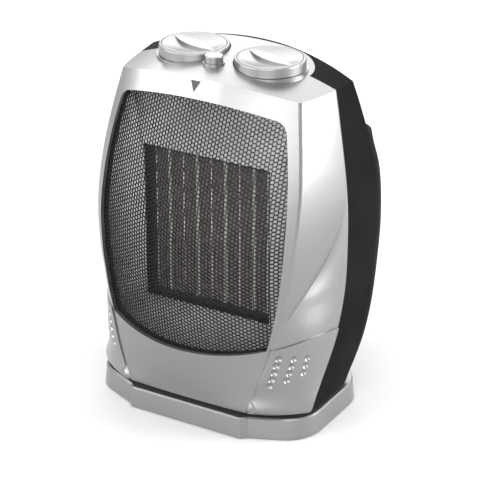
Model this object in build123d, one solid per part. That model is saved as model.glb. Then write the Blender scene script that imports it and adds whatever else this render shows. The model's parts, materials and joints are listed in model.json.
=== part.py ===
from build123d import *
import math
import os

# Ceramic fan heater on an oscillating base.
# Frame: millimetres, +Z up, front towards -Y, the floor at z = 0, symmetric about x = 0.
# The swivel axis is the Z axis. Angles are in degrees.

# Body outside, given at the widest or deepest place
BODY_BOTTOM = 19.0
CREST_HEIGHT = 245.8
BODY_HALF_WIDTH = 88.3
FRONT_DEPTH = 77.8
FRONT_RADIUS = 125.0
REAR_BOW = 3.0
CREASE_ROUNDING = 2.0
STATION_COUNT = 21
LOFT_OVERRUN = 1.08

# Body outside as shares of the sizes above, each against the share of the height
FRONT_SHARES = (
    (0.0, 0.778),
    (0.22, 0.933),
    (0.34, 0.977),
    (0.46, 1.0),
    (0.58, 0.977),
    (0.75, 0.848),
    (0.95, 0.626),
    (1.08, 0.45),
)
CREASE_SHARES = ((0.0, 0.495), (0.22, 0.70), (0.40, 0.829), (0.585, 0.882), (0.76, 0.861), (1.08, 0.715))
FLANK_SHARES = ((0.0, 0.943), (0.22, 0.965), (0.585, 0.982), (0.86, 0.898), (1.08, 0.80))
WIDE_SHARES = ((0.0, 0.946), (0.22, 0.98), (0.53, 1.0), (0.86, 0.93), (1.08, 0.84))
REAR_SHARES = (
    (0.0, 0.463),
    (0.11, 0.758),
    (0.22, 0.90),
    (0.36, 0.968),
    (0.50, 1.0),
    (0.64, 0.968),
    (0.78, 0.80),
    (1.08, 0.60),
)
FLANK_STARTS = ((0.0, -35.0), (0.11, -21.0), (0.22, -7.0), (0.40, 2.0), (0.60, 6.0), (1.08, 6.0))
SIDE_BULGES = ((0.0, 3.6), (0.11, 6.4), (0.22, 7.2), (0.36, 2.2), (0.60, 1.2), (1.08, 0.6))
REAR_CORNERS = ((0.0, 20.0), (0.22, 24.0), (0.58, 25.0), (0.86, 16.0), (1.08, 13.0))
BOW_SHARES = ((0.0, 0.12), (0.11, 0.66), (0.22, 1.0), (1.08, 1.0))

# Valley that sweeps across each side, as shares of the way from the front crease to the seam
VALLEY_SHARES = (
    (0.0, 0.09),
    (0.28, 0.09),
    (0.345, 0.26),
    (0.42, 0.60),
    (0.51, 0.83),
    (0.62, 0.95),
    (1.08, 0.95),
)
VALLEY_DEPTHS = ((0.0, 0.0), (0.27, 0.0), (0.33, 2.2), (0.43, 4.4), (0.53, 2.2), (0.64, 0.0), (1.08, 0.0))
VALLEY_FLARE = 0.33

# Top surface: an arch across, rising gently to the rear
ARCH_RADIUS = 222.0
CREST_Y = -44.5
TOP_SLOPE = 0.07

# Rear shoulder above the intake bulge, and the finger recess in it
LEDGE_HEIGHT = 196.0
SHOULDER_TOP_Y = 33.5
SHOULDER_TILT = 0.38
SHOULDER_RADIUS = 230.0
RECESS_HALF_WIDTH = 34.0
RECESS_BOTTOM = 208.0
RECESS_TOP = 236.0
RECESS_FRONT_Y = 29.0
RECESS_CORNER = 8.0

# Walls and gaps
WALL = 2.4
PANEL_THICKNESS = 3.2
MOVING_GAP = 0.3
SEAT_GAP = 0.2
RUNNING_GAP = 0.06
SCREW_GAP = 0.1

# Seam between the silver front and the black rear
SEAM_Y = 6.0
SEAM_FOOT_Y = -36.0
SEAM_BEND_HEIGHT = 110.0
SEAM_BEND_SHARE = 0.25
SEAM_FOOT_LEAN = 0.55
PANEL_TAB_HALF_WIDTH = 56.0
PANEL_TAB_Y = 31.0
PANEL_TAB_CORNER = 24.0

# Air outlet opening in the front
OPENING_CORNER_X = 60.8
OPENING_CORNER_HEIGHT = 68.7
OPENING_LIP_HEIGHT = 60.2
OPENING_MIDDLE_X = 71.5
OPENING_MIDDLE_HEIGHT = 152.0
OPENING_TOP_X = 62.3
OPENING_SHOULDER_HEIGHT = 223.9
OPENING_TOP_HEIGHT = 233.5
OPENING_FILLET = 11.0
COLLAR_DEPTH = 3.0
COLLAR_WIDTH = 3.0

# Skirt, a plate that stands proud of each side below the valley
SKIRT_CROWN = 73.2
SKIRT_CROWN_Y = -30.0
SKIRT_EDGE_HEIGHT = 68.2
SKIRT_EDGE_Y = 30.0
SKIRT_RISE = 0.9
SKIRT_FOOT_SETBACK = 4.0
SKIRT_HEAD_SETBACK = 1.2
SKIRT_EDGE_POINTS = 5

# Dimples in the skirt, in columns that each have one less than the last
DIMPLE_COLUMNS = 3
DIMPLE_ROWS = 5
DIMPLE_TOP = 62.6
DIMPLE_DROP = 1.55
DIMPLE_PITCH = 5.15
DIMPLE_LEAN = 0.5
DIMPLE_START = 8.9
DIMPLE_SPACING = 10.8
DIMPLE_RADIUS = 2.35
DIMPLE_DEPTH = 1.1

# Outlet mesh, spacer ring and funnel, as depths behind the front surface
MESH_THICKNESS = 0.8
MESH_HOLE_RADIUS = 3.8
MESH_PITCH = 10.0
MESH_BORDER = 3.5
RING_DEPTH = 4.2
RING_WIDTH = 2.2
FUNNEL_THICKNESS = 1.0
FUNNEL_RIM_POINTS = 7

# Window at the back of the funnel, and the heating element behind it
WINDOW_HALF_WIDTH = 49.0
WINDOW_BOTTOM = 75.0
WINDOW_HEIGHT = 112.3
WINDOW_Y = -33.0
FRAME_WALL = 2.5
ELEMENT_Y = -26.0
ELEMENT_DEPTH = 15.0
ELEMENT_HALF_WIDTH = 44.0
ELEMENT_HEIGHT = 104.0
FIN_COLUMNS = 8
FIN_PITCH = 4.0
FIN_SHEET = 0.4
TUBE_THICKNESS = 2.4
PLATE_THICKNESS = 0.8
FIN_GAP = 0.05
TERMINAL_WIDTH = 6.3
TERMINAL_LENGTH = 12.0
TERMINAL_COLUMNS = 4

# Bulkhead with the fan ring
BULKHEAD_Y = -9.0
BULKHEAD_THICKNESS = 3.0
BULKHEAD_BOTTOM = 66.0
BULKHEAD_TOP = 188.0
FAN_RING_RADIUS = 61.0
FAN_RING_WALL = 2.5
FAN_RING_REAR_Y = 22.0

# Fan and motor, on an axis along Y
FAN_RADIUS = 56.0
FAN_HUB_RADIUS = 17.0
FAN_HUB_DEPTH = 14.0
FAN_HUB_Y = 2.0
FAN_BLADES = 7
BLADE_ROOT_RADIUS = 15.0
BLADE_ROOT_CHORD = 18.4
BLADE_ROOT_PITCH = 42.0
BLADE_TIP_CHORD = 26.0
BLADE_TIP_PITCH = 24.0
BLADE_THICKNESS = 1.6
SHAFT_RADIUS = 2.5
BRACKET_THICKNESS = 1.5
BRACKET_WIDTH = 26.0
CORE_DEPTH = 18.0
CORE_WIDTH = 58.0
CORE_HEIGHT = 74.0
CORE_CORNER = 5.0
CORE_LEG = 9.7
ROTOR_RADIUS = 15.0
COIL_WIDTH = 40.0
COIL_DEPTH = 34.0
COIL_HEIGHT = 22.0
COIL_CORNER = 4.0
COIL_GAP = 1.0
BEARING_RADIUS = 7.0
BEARING_LENGTH = 9.0
BEARING_GAP = 1.2
SHAFT_END_GAP = 1.0
POST_X = 23.2
POST_RADIUS = 2.0
STRAP_OVERHANG = 3.0

# Control panel on the top
KNOB_X = 29.3
KNOB_Y = 0.8
KNOB_TOP = 252.0
KNOB_RADIUS = 24.1
KNOB_DRAFT = 0.3
KNOB_SHOULDER = 1.0
KNOB_FACE_RADIUS = 21.7
KNOB_GROOVE_WIDTH = 0.6
KNOB_GROOVE_DEPTH = 0.9
KNOB_RIM = 1.2
KNOB_SCOOP_DEPTH = 2.4
KNOB_BAR_WIDTH = 10.5
KNOB_BAR_ANGLE = -20.0
KNOB_SKIRT_WALL = 2.0
SEAT_TOP = 245.2
SEAT_RADIUS = 25.4
SEAT_THICKNESS = 6.5
DISH_RADIUS = 24.7
SPINDLE_RADIUS = 3.0
BUSHING_RADIUS = 5.0
SWITCH_WIDTH = 32.0
SWITCH_HEIGHT = 22.0
SWITCH_CORNER = 3.0
THERMOSTAT_RADIUS = 17.0
THERMOSTAT_HEIGHT = 16.0
THERMOSTAT_CORNER = 2.0
BUTTON_X = -2.5
BUTTON_Y = -18.0
BUTTON_RADIUS = 6.2
BUTTON_TOP = 253.6
BUTTON_TRAVEL = 3.0
BUTTON_EDGE = 0.6
BUTTON_COLLAR = 0.9
BUTTON_COLLAR_TOP = 249.0
BUTTON_STEM_RADIUS = 2.0
PUSH_SWITCH_WIDTH = 15.0
PUSH_SWITCH_HEIGHT = 20.0

# Pilot lamp behind a small triangular lens
LENS_HALF_WIDTH = 3.7
LENS_TOP = 244.2
LENS_TIP = 237.4
LENS_DEPTH = 5.0
LAMP_RADIUS = 3.0
LAMP_LENGTH = 12.0
LAMP_TIP = 1.5

# Rear intake grille
GRILLE_HALF_WIDTH = 52.0
GRILLE_BOTTOM = 66.0
GRILLE_TOP = 184.0
GRILLE_CORNER = 22.0
GRILLE_FLANGE = 3.0
GRILLE_FLANGE_THICKNESS = 1.4
GRILLE_SLOT_PITCH = 7.0
GRILLE_SLOT_HEIGHT = 3.6
GRILLE_BORDER = 7.0
GRILLE_SPINE = 4.0

# Housing screws, front to rear
BOSS_RADIUS = 4.5
SCREW_RADIUS = 1.7
SCREW_HEAD_RADIUS = 3.4
SCREW_HEAD_HEIGHT = 2.4
SCREW_WEB = 4.0
SCREW_BITE = 16.0
FRONT_BOSS_LENGTH = 20.0
RIB_THICKNESS = 2.0
LOWER_BOSS_X = 75.0
LOWER_BOSS_HEIGHT = 57.0
UPPER_BOSS_X = 69.0
UPPER_BOSS_HEIGHT = 194.0

# Base
BASE_TOP = 15.4
BASE_CLEAR = 0.8
BASE_EDGE = 1.0
BASE_HALF_WIDTH = 86.2
BASE_FRONT_Y = -63.7
BASE_REAR_Y = 45.5
BASE_NOSE_HALF_WIDTH = 44.2
BASE_STEP = 4.0
BASE_CORNER_Y = -43.6
BASE_FRONT_CORNER = 28.0
BASE_REAR_CORNER = 29.0
BASE_WALL = 2.5
BASE_TAPER = 5.0
BASE_PLATE_BOTTOM = 1.0
BASE_PLATE_THICKNESS = 2.0
FOOT_RADIUS = 8.0
FOOT_X = 66.0
FOOT_FRONT_Y = -38.0
FOOT_REAR_Y = 26.0
BASE_SCREW_X = 50.0
BASE_SCREW_FRONT_Y = -40.0
BASE_SCREW_REAR_Y = 32.0
BASE_SCREW_RADIUS = 1.5
BASE_SCREW_HEAD = 3.0
BASE_SCREW_HEAD_HEIGHT = 1.2
BASE_SCREW_LENGTH = 8.0
BASE_BOSS_RADIUS = 4.0
GROMMET_RADIUS = 5.5
GROMMET_BORE = 3.6
GROMMET_FLANGE = 2.0
GROMMET_LIP = 1.0
GROMMET_HEIGHT = 8.5

# Swivel and oscillation drive
SPIGOT_RADIUS = 13.8
SPIGOT_BORE = 9.0
BUSH_WALL = 2.2
BUSH_FLANGE_RADIUS = 18.0
BUSH_FLANGE = 1.5
BUSH_TOP = 22.0
RETAINER_RADIUS = 20.0
RETAINER_THICKNESS = 1.6
RETAINER_SCREW_RADIUS = 1.2
RETAINER_SCREW_HEAD = 2.2
RETAINER_SCREW_LENGTH = 7.0
RETAINER_SCREW_COUNT = 3
FLOOR_BOTTOM = 24.0
FLOOR_THICKNESS = 2.5
LEDGE_WIDTH = 5.0
LEDGE_THICKNESS = 2.0
FLOOR_SCREW_X = 66.0
FLOOR_SCREW_FRONT_Y = -36.0
FLOOR_SCREW_REAR_Y = 14.0
FLOOR_SCREW_LENGTH = 9.0
DRIVE_OFFSET = 27.0
CRANK_THROW = 13.5
CRANK_PIN_RADIUS = 2.5
CRANK_THICKNESS = 2.0
CRANK_HUB_RADIUS = 5.5
CRANK_ARM_HALF_WIDTH = 4.5
CRANK_SHAFT_RADIUS = 2.5
CRANK_SHAFT_CLEARANCE = 1.0
GUIDE_THICKNESS = 2.2
GUIDE_WIDTH = 22.0
SLOT_SIDE_GAP = 1.7
SLOT_END_GAP = 1.5
DRIVE_MOTOR_RADIUS = 25.0
DRIVE_MOTOR_HEIGHT = 14.0
DRIVE_MOTOR_CORNER = 1.5
SWING_LIMIT = 30.0

# Loose units that stand on the housing floor
TERMINAL_BLOCK_SIZE = (34.0, 14.0, 13.0)
TERMINAL_BLOCK_X = -43.0
TERMINAL_BLOCK_Y = 4.0
TERMINAL_BLOCK_POLES = 3
TERMINAL_WELL_DEPTH = 4.0
TILT_SWITCH_SIZE = (22.0, 15.0, 21.0)
TILT_SWITCH_X = 50.0
TILT_SWITCH_Y = 4.0
CUTOUT_RADIUS = 8.0
CUTOUT_HEIGHT = 6.0
CUTOUT_CORNER = 1.0
CUTOUT_X = 28.0

# Sizes that follow from the ones above
FAR = 300.0
REAR_DEPTH = FRONT_DEPTH - COLLAR_DEPTH
BODY_HEIGHT = CREST_HEIGHT - BODY_BOTTOM
MESH_FRONT = COLLAR_DEPTH
MESH_BACK = MESH_FRONT + MESH_THICKNESS
RING_BACK = MESH_BACK + RING_DEPTH
WINDOW_TOP = WINDOW_BOTTOM + WINDOW_HEIGHT
ELEMENT_MIDDLE = WINDOW_BOTTOM + WINDOW_HEIGHT / 2
ELEMENT_BACK_Y = ELEMENT_Y + ELEMENT_DEPTH
FRAME_FRONT_Y = WINDOW_Y + FUNNEL_THICKNESS
FLOOR_TOP = FLOOR_BOTTOM + FLOOR_THICKNESS
BASE_INSIDE_TOP = BASE_TOP - BASE_WALL
BASE_PLATE_TOP = BASE_PLATE_BOTTOM + BASE_PLATE_THICKNESS
BUSH_RADIUS = SPIGOT_RADIUS + RUNNING_GAP + BUSH_WALL
BASE_BOSS_TOP = BUSH_TOP - BUSH_FLANGE
RETAINER_TOP = BASE_INSIDE_TOP - MOVING_GAP
SEAT_BOTTOM = SEAT_TOP - SEAT_THICKNESS
KNOB_BOTTOM = SEAT_TOP + MOVING_GAP
BUTTON_BOSS_BOTTOM = SEAT_BOTTOM
BRACKET_Y = FAN_RING_REAR_Y
CORE_Y = BRACKET_Y + BRACKET_THICKNESS + BEARING_LENGTH
GUIDE_TOP = BASE_TOP + GUIDE_THICKNESS
CRANK_BOTTOM = GUIDE_TOP + MOVING_GAP
BULKHEAD_BACK_Y = BULKHEAD_Y + BULKHEAD_THICKNESS


def blend(points, place):
    """Smooth curve through the points: each has a place and a value."""
    places = [point[0] for point in points]
    values = [point[1] for point in points]
    last = len(points) - 1
    slopes = []
    for index in range(last + 1):
        before = max(index - 1, 0)
        after = min(index + 1, last)
        slopes.append((values[after] - values[before]) / (places[after] - places[before]))
    index = 0
    while index < last - 1 and place > places[index + 1]:
        index += 1
    span = places[index + 1] - places[index]
    share = (place - places[index]) / span
    start = values[index] * (1 + 2 * share) * (1 - share) ** 2
    end = values[index + 1] * (3 - 2 * share) * share ** 2
    rise = slopes[index] * share * (1 - share) ** 2
    fall = slopes[index + 1] * (share - 1) * share ** 2
    return start + end + span * (rise + fall)


def height_share(z):
    return (z - BODY_BOTTOM) / BODY_HEIGHT


def crease_x(z):
    return BODY_HALF_WIDTH * blend(CREASE_SHARES, height_share(z))


def front_y(z):
    return -FRONT_DEPTH * blend(FRONT_SHARES, height_share(z))


def front_bow(z):
    full = FRONT_RADIUS - math.sqrt(FRONT_RADIUS ** 2 - crease_x(z) ** 2)
    return full * blend(BOW_SHARES, height_share(z))


def front_surface_y(x, z):
    """Depth of the bowed front at a place on it."""
    sag = front_bow(z)
    radius = (crease_x(z) ** 2 + sag ** 2) / (2 * sag)
    return front_y(z) + radius - math.sqrt(radius ** 2 - x ** 2)


def unit_normal(start, end):
    """Normal on the right-hand side of the line from start to end."""
    along = Vector(end[0] - start[0], end[1] - start[1]).normalized()
    return Vector(along.Y, -along.X)


def side_points(z, inset):
    """Start, middle and end of the arc between the front crease and the flank."""
    share = height_share(z)
    sag = front_bow(z)
    crease = Vector(crease_x(z), front_y(z) + sag)
    flank = Vector(BODY_HALF_WIDTH * blend(FLANK_SHARES, share), blend(FLANK_STARTS, share))
    side_normal = unit_normal((crease.X, crease.Y), (flank.X, flank.Y))
    middle = (crease + flank) * 0.5 + side_normal * (blend(SIDE_BULGES, share) - inset)
    radius = (crease.X ** 2 + sag ** 2) / (2 * sag)
    front_normal = Vector(crease.X / radius, -math.sqrt(1 - (crease.X / radius) ** 2))
    both = front_normal + side_normal
    crease = crease - both * (inset / (1 + front_normal.dot(side_normal)))
    return crease, middle, flank - Vector(inset, 0)


def side_arcs(z, inset):
    """Points of the two arcs that meet in the valley, from the rounded front crease to the flank."""
    crease, middle, flank = side_points(z, inset)
    whole = Edge.make_three_point_arc(crease, middle, flank)
    start = CREASE_ROUNDING / whole.length
    split = blend(VALLEY_SHARES, height_share(z))
    depth = blend(VALLEY_DEPTHS, height_share(z))
    points = []
    for share, part in (((start + split) / 2, VALLEY_FLARE), (split, 1.0), ((1 + split) / 2, VALLEY_FLARE)):
        along = whole % share
        points.append(whole @ share - Vector(along.Y, -along.X) * (depth * part))
    return [(whole @ start, points[0], points[1]), (points[1], points[2], flank)]


def section(z, inset):
    """Horizontal slice of the body, moved inwards by the inset."""
    share = height_share(z)
    arcs = side_arcs(z, inset)
    flank = arcs[1][2]
    crease = side_points(z, inset)[0]
    front = Edge.make_three_point_arc(
        (-crease.X, crease.Y), (0, front_y(z) + inset), (crease.X, crease.Y)
    )
    edge = front @ (1 - CREASE_ROUNDING / front.length)
    round_middle = crease * 0.5 + (edge + arcs[0][0]) * 0.25
    arcs = [(edge, round_middle, arcs[0][0])] + arcs
    wide = BODY_HALF_WIDTH * blend(WIDE_SHARES, share) - inset
    rear = REAR_DEPTH * blend(REAR_SHARES, share) - inset
    corner = blend(REAR_CORNERS, share) - inset
    corner_y = rear - REAR_BOW - corner
    turn = corner * math.sqrt(0.5)
    edges = [
        Edge.make_three_point_arc((-edge.X, edge.Y, z), (0, front_y(z) + inset, z), (edge.X, edge.Y, z))
    ]
    for side in (1, -1):
        for arc in arcs:
            edges.append(Edge.make_three_point_arc(*[(side * point.X, point.Y, z) for point in arc]))
        edges.append(Edge.make_line((side * flank.X, flank.Y, z), (side * wide, corner_y, z)))
        edges.append(
            Edge.make_three_point_arc(
                (side * wide, corner_y, z),
                (side * (wide - corner + turn), corner_y + turn, z),
                (side * (wide - corner), corner_y + corner, z),
            )
        )
    edges.append(
        Edge.make_three_point_arc(
            (-(wide - corner), corner_y + corner, z), (0, rear, z), (wide - corner, corner_y + corner, z)
        )
    )
    return Face(Wire(edges))


def arch_drop(x):
    return ARCH_RADIUS - math.sqrt(ARCH_RADIUS ** 2 - x ** 2)


def top_z(x, y):
    """Height of the top surface at a place on it."""
    return CREST_HEIGHT + (y - CREST_Y) * TOP_SLOPE - arch_drop(x)


def under_arch(drop):
    """Everything below the top surface, lowered by the drop."""
    reach = BODY_HALF_WIDTH + WALL
    start_y = -FRONT_DEPTH - REAR_DEPTH
    crown = top_z(0, start_y) - drop
    edge = crown - arch_drop(reach)
    foot = -FAR
    outline = Wire(
        [
            Edge.make_three_point_arc((-reach, start_y, edge), (0, start_y, crown), (reach, start_y, edge)),
            Edge.make_line((reach, start_y, edge), (reach, start_y, foot)),
            Edge.make_line((reach, start_y, foot), (-reach, start_y, foot)),
            Edge.make_line((-reach, start_y, foot), (-reach, start_y, edge)),
        ]
    )
    return extrude(Face(outline), amount=2 * FAR, dir=Vector(0, 1, TOP_SLOPE).normalized())


def shoulder_cut(inset):
    """What is taken away above the ledge, behind the bowed and tilted upper back."""
    low = LEDGE_HEIGHT - inset
    rise = top_z(0, SHOULDER_TOP_Y) - low
    middle_y = SHOULDER_TOP_Y + SHOULDER_TILT * rise - inset
    reach = BODY_HALF_WIDTH + WALL
    edge_y = middle_y - (SHOULDER_RADIUS - math.sqrt(SHOULDER_RADIUS ** 2 - reach ** 2))
    outline = Wire(
        [
            Edge.make_three_point_arc((-reach, edge_y, low), (0, middle_y, low), (reach, edge_y, low)),
            Edge.make_line((reach, edge_y, low), (reach, FAR, low)),
            Edge.make_line((reach, FAR, low), (-reach, FAR, low)),
            Edge.make_line((-reach, FAR, low), (-reach, edge_y, low)),
        ]
    )
    return extrude(Face(outline), amount=FAR, dir=Vector(0, -SHOULDER_TILT, 1).normalized())


def rounded_box(half_width, y_low, y_high, z_low, z_high, corner):
    """Box along Y whose outline across is rounded."""
    outline = RectangleRounded(2 * half_width, z_high - z_low, corner)
    plane = Plane(origin=(0, y_low, (z_low + z_high) / 2), x_dir=(1, 0, 0), z_dir=(0, -1, 0))
    return extrude(plane * outline, amount=-(y_high - y_low))


def finger_recess(grow):
    return rounded_box(
        RECESS_HALF_WIDTH + grow,
        RECESS_FRONT_Y - grow,
        FAR,
        RECESS_BOTTOM - grow,
        RECESS_TOP + grow,
        RECESS_CORNER + grow,
    )


def body_loft(inset):
    top = BODY_BOTTOM + BODY_HEIGHT * LOFT_OVERRUN
    step = (top - BODY_BOTTOM) / (STATION_COUNT - 1)
    return loft([section(BODY_BOTTOM + index * step, inset) for index in range(STATION_COUNT)])


def body_form(inset):
    """The whole outer form, moved inwards by the inset on every side but the open bottom."""
    form = body_loft(inset) & under_arch(inset)
    form = form - shoulder_cut(inset)
    return form - finger_recess(inset)


def front_region():
    """Everything in front of the seam, whose foot sweeps forwards."""
    low = -FAR
    seam = Edge.make_spline(
        [
            (0, SEAM_Y, SEAM_BEND_HEIGHT),
            (0, SEAM_Y + (SEAM_FOOT_Y - SEAM_Y) * SEAM_BEND_SHARE, (SEAM_BEND_HEIGHT + BODY_BOTTOM) / 2),
            (0, SEAM_FOOT_Y, BODY_BOTTOM),
        ],
        tangents=[(0, 0, -1), (0, -SEAM_FOOT_LEAN, -1)],
    )
    outline = Wire(
        [
            Edge.make_line((0, -FAR, FAR * 2), (0, SEAM_Y, FAR * 2)),
            Edge.make_line((0, SEAM_Y, FAR * 2), (0, SEAM_Y, SEAM_BEND_HEIGHT)),
            seam,
            Edge.make_line((0, SEAM_FOOT_Y, BODY_BOTTOM), (0, SEAM_FOOT_Y, low)),
            Edge.make_line((0, SEAM_FOOT_Y, low), (0, -FAR, low)),
            Edge.make_line((0, -FAR, low), (0, -FAR, FAR * 2)),
        ]
    )
    return extrude(Face(outline), amount=FAR, dir=(1, 0, 0), both=True)


def box_between(low, high):
    size = [high[axis] - low[axis] for axis in range(3)]
    middle = [(high[axis] + low[axis]) / 2 for axis in range(3)]
    return Pos(*middle) * Box(*size)


def rod_z(x, y, radius, low, high):
    return Pos(x, y, (low + high) / 2) * Cylinder(radius, high - low)


def rod_y(x, z, radius, low, high):
    return Pos(x, (low + high) / 2, z) * Rot(90, 0, 0) * Cylinder(radius, high - low)


def panel_region():
    """Plan of the control panel: the whole front and a rounded tab that reaches back."""
    reach = BODY_HALF_WIDTH + WALL
    front = box_between((-reach, -FAR, 0), (reach, SEAM_Y, 2 * FAR))
    depth = PANEL_TAB_Y - CREST_Y
    tab = RectangleRounded(2 * PANEL_TAB_HALF_WIDTH, depth, PANEL_TAB_CORNER)
    return front + extrude(Pos(0, PANEL_TAB_Y - depth / 2, 0) * tab, amount=2 * FAR)


def panel_slab():
    """The layer under the top surface that the control panel takes up."""
    above = box_between((-FAR, -FAR, 0), (FAR, FAR, 2 * FAR)) - under_arch(PANEL_THICKNESS)
    return panel_region() & above


def opening_outline(grow):
    """Outline of the air outlet seen from the front, grown outwards."""
    low = (OPENING_CORNER_X + grow, OPENING_CORNER_HEIGHT - grow)
    high = (OPENING_TOP_X + grow, OPENING_SHOULDER_HEIGHT + grow)
    side = OPENING_MIDDLE_X + grow
    lip = (0, OPENING_LIP_HEIGHT - grow)
    crown = (0, OPENING_TOP_HEIGHT + grow)
    edges = [
        Edge.make_three_point_arc((-low[0], low[1]), lip, low),
        Edge.make_three_point_arc(low, (side, OPENING_MIDDLE_HEIGHT), high),
        Edge.make_three_point_arc(high, crown, (-high[0], high[1])),
        Edge.make_three_point_arc((-high[0], high[1]), (-side, OPENING_MIDDLE_HEIGHT), (-low[0], low[1])),
    ]
    return Face(Wire(edges))


def opening_cut(grow):
    """The outlet's outline, grown, as a prism through the front of the body."""
    face = opening_outline(grow)
    upper = face.vertices().sort_by(Axis.Y)[-2:]
    face = fillet(upper, OPENING_FILLET + grow)
    plane = Plane(origin=(0, -FAR, 0), x_dir=(1, 0, 0), z_dir=(0, -1, 0))
    return extrude(plane * face, amount=-(FAR + ELEMENT_Y))


def skirt_band():
    """Everything below the skirt's top edge, which is arched from front to rear."""
    front = (0, SKIRT_CROWN_Y - SKIRT_EDGE_Y, SKIRT_EDGE_HEIGHT)
    back = (0, SKIRT_CROWN_Y + SKIRT_EDGE_Y, SKIRT_EDGE_HEIGHT)
    low_front = (0, front[1], 0)
    low_back = (0, back[1], 0)
    outline = Wire(
        [
            Edge.make_three_point_arc(front, (0, SKIRT_CROWN_Y, SKIRT_CROWN), back),
            Edge.make_line(back, low_back),
            Edge.make_line(low_back, low_front),
            Edge.make_line(low_front, front),
        ]
    )
    return extrude(Face(outline), amount=FAR, dir=(1, 0, 0), both=True)


def skirt_plates():
    """Raised plates on both sides below the valley; the groove beside each widens downwards."""
    line = []
    for index in range(SKIRT_EDGE_POINTS):
        share = index / (SKIRT_EDGE_POINTS - 1)
        z = BODY_BOTTOM + (SKIRT_CROWN - BODY_BOTTOM) * share
        setback = SKIRT_FOOT_SETBACK + (SKIRT_HEAD_SETBACK - SKIRT_FOOT_SETBACK) * share
        line.append((crease_x(z) + setback, -FAR, z))
    skin = (body_loft(-SKIRT_RISE) - body_loft(WALL / 2)) & skirt_band()
    plates = []
    for side in (1, -1):
        points = [(side * x, y, z) for x, y, z in line]
        edges = [
            Edge.make_spline(points),
            Edge.make_line(points[-1], (side * FAR, -FAR, SKIRT_CROWN)),
            Edge.make_line((side * FAR, -FAR, SKIRT_CROWN), (side * FAR, -FAR, BODY_BOTTOM)),
            Edge.make_line((side * FAR, -FAR, BODY_BOTTOM), points[0]),
        ]
        plates.append(skin & extrude(Face(Wire(edges)), amount=2 * FAR, dir=(0, 1, 0)))
    return plates


def skirt_dimples():
    """Balls that press the rows of dimples into both sides of the skirt."""
    radius = (DIMPLE_RADIUS ** 2 + DIMPLE_DEPTH ** 2) / (2 * DIMPLE_DEPTH)
    balls = []
    for column in range(DIMPLE_COLUMNS):
        for row in range(DIMPLE_ROWS - column):
            z = DIMPLE_TOP - column * DIMPLE_DROP - row * DIMPLE_PITCH
            arc = Edge.make_three_point_arc(*side_points(z, 0))
            share = (DIMPLE_START + column * DIMPLE_SPACING + row * DIMPLE_LEAN) / arc.length
            along = arc % share
            lift = radius - DIMPLE_DEPTH + SKIRT_RISE
            centre = arc @ share + Vector(along.Y, -along.X) * lift
            for side in (1, -1):
                balls.append(Pos(side * centre.X, centre.Y, z) * Sphere(radius))
    return balls


def lens_prism(grow, low_y, high_y):
    face = Face(
        Wire.make_polygon(
            [
                (-LENS_HALF_WIDTH - grow, low_y, LENS_TOP + grow),
                (LENS_HALF_WIDTH + grow, low_y, LENS_TOP + grow),
                (0, low_y, LENS_TIP - grow * 2),
            ]
        )
    )
    return extrude(face, amount=high_y - low_y, dir=(0, 1, 0))


def screw_places():
    places = []
    for side in (1, -1):
        places.append((side * LOWER_BOSS_X, LOWER_BOSS_HEIGHT))
        places.append((side * UPPER_BOSS_X, UPPER_BOSS_HEIGHT))
    return places


def floor_screw_places():
    places = []
    for side in (1, -1):
        places.append((side * FLOOR_SCREW_X, FLOOR_SCREW_FRONT_Y))
        places.append((side * FLOOR_SCREW_X, FLOOR_SCREW_REAR_Y))
    return places


def shell_ledge(outer, inner):
    """Rim inside the shells that the housing floor is screwed up against, with its screw bosses."""
    slab = box_between((-FAR, -FAR, FLOOR_TOP), (FAR, FAR, FLOOR_TOP + LEDGE_THICKNESS))
    ledge = (inner - body_loft(WALL + LEDGE_WIDTH)) & slab
    reach = FLOOR_TOP + FLOOR_SCREW_LENGTH
    for x, y in floor_screw_places():
        side = math.copysign(1, x)
        boss = rod_z(x, y, BOSS_RADIUS, FLOOR_TOP, reach)
        rib = box_between(
            (min(x, side * FAR), y - RIB_THICKNESS / 2, FLOOR_TOP),
            (max(x, side * FAR), y + RIB_THICKNESS / 2, reach),
        )
        ledge = ledge + ((boss + rib) & outer)
    return ledge


def front_shell(outer, inner, region):
    """Silver front with the outlet bezel, both side panels and the lower skirt."""
    collar = opening_cut(COLLAR_WIDTH) & (outer - body_loft(COLLAR_DEPTH))
    shell = (outer - inner) + collar + shell_ledge(outer, inner)
    for plate in skirt_plates():
        shell = shell + plate
    for x, z in screw_places():
        side = math.copysign(1, x)
        boss = rod_y(x, z, BOSS_RADIUS, SEAM_Y - FRONT_BOSS_LENGTH, SEAM_Y + FAR)
        rib = box_between(
            (min(x, side * FAR), SEAM_Y - FRONT_BOSS_LENGTH, z - RIB_THICKNESS / 2),
            (max(x, side * FAR), SEAM_Y + FAR, z + RIB_THICKNESS / 2),
        )
        shell = shell + ((boss + rib) & outer)
    shell = shell & region
    shell = shell - panel_slab()
    shell = shell - opening_cut(0)
    shell = shell - lens_prism(SEAT_GAP / 2, -FAR, CREST_Y + FAR)
    shell = shell - skirt_dimples()
    return drill_housing(shell)


def drill_housing(shell):
    """Screw holes along Y at the seam, and up through the ledge."""
    for x, z in screw_places():
        shell = shell - rod_y(x, z, SCREW_RADIUS + SCREW_GAP, SEAM_Y - SCREW_BITE - MOVING_GAP, FAR)
        shell = shell - rod_y(x, z, SCREW_HEAD_RADIUS + SCREW_GAP * 2, SEAM_Y + SCREW_WEB, FAR)
    for x, y in floor_screw_places():
        shell = shell - rod_z(x, y, SCREW_RADIUS + SCREW_GAP, 0, FLOOR_TOP + FLOOR_SCREW_LENGTH)
    return shell


def grille_outline(grow, low_y):
    return rounded_box(
        GRILLE_HALF_WIDTH + grow, low_y, FAR, GRILLE_BOTTOM - grow, GRILLE_TOP + grow, GRILLE_CORNER + grow
    )


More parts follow.
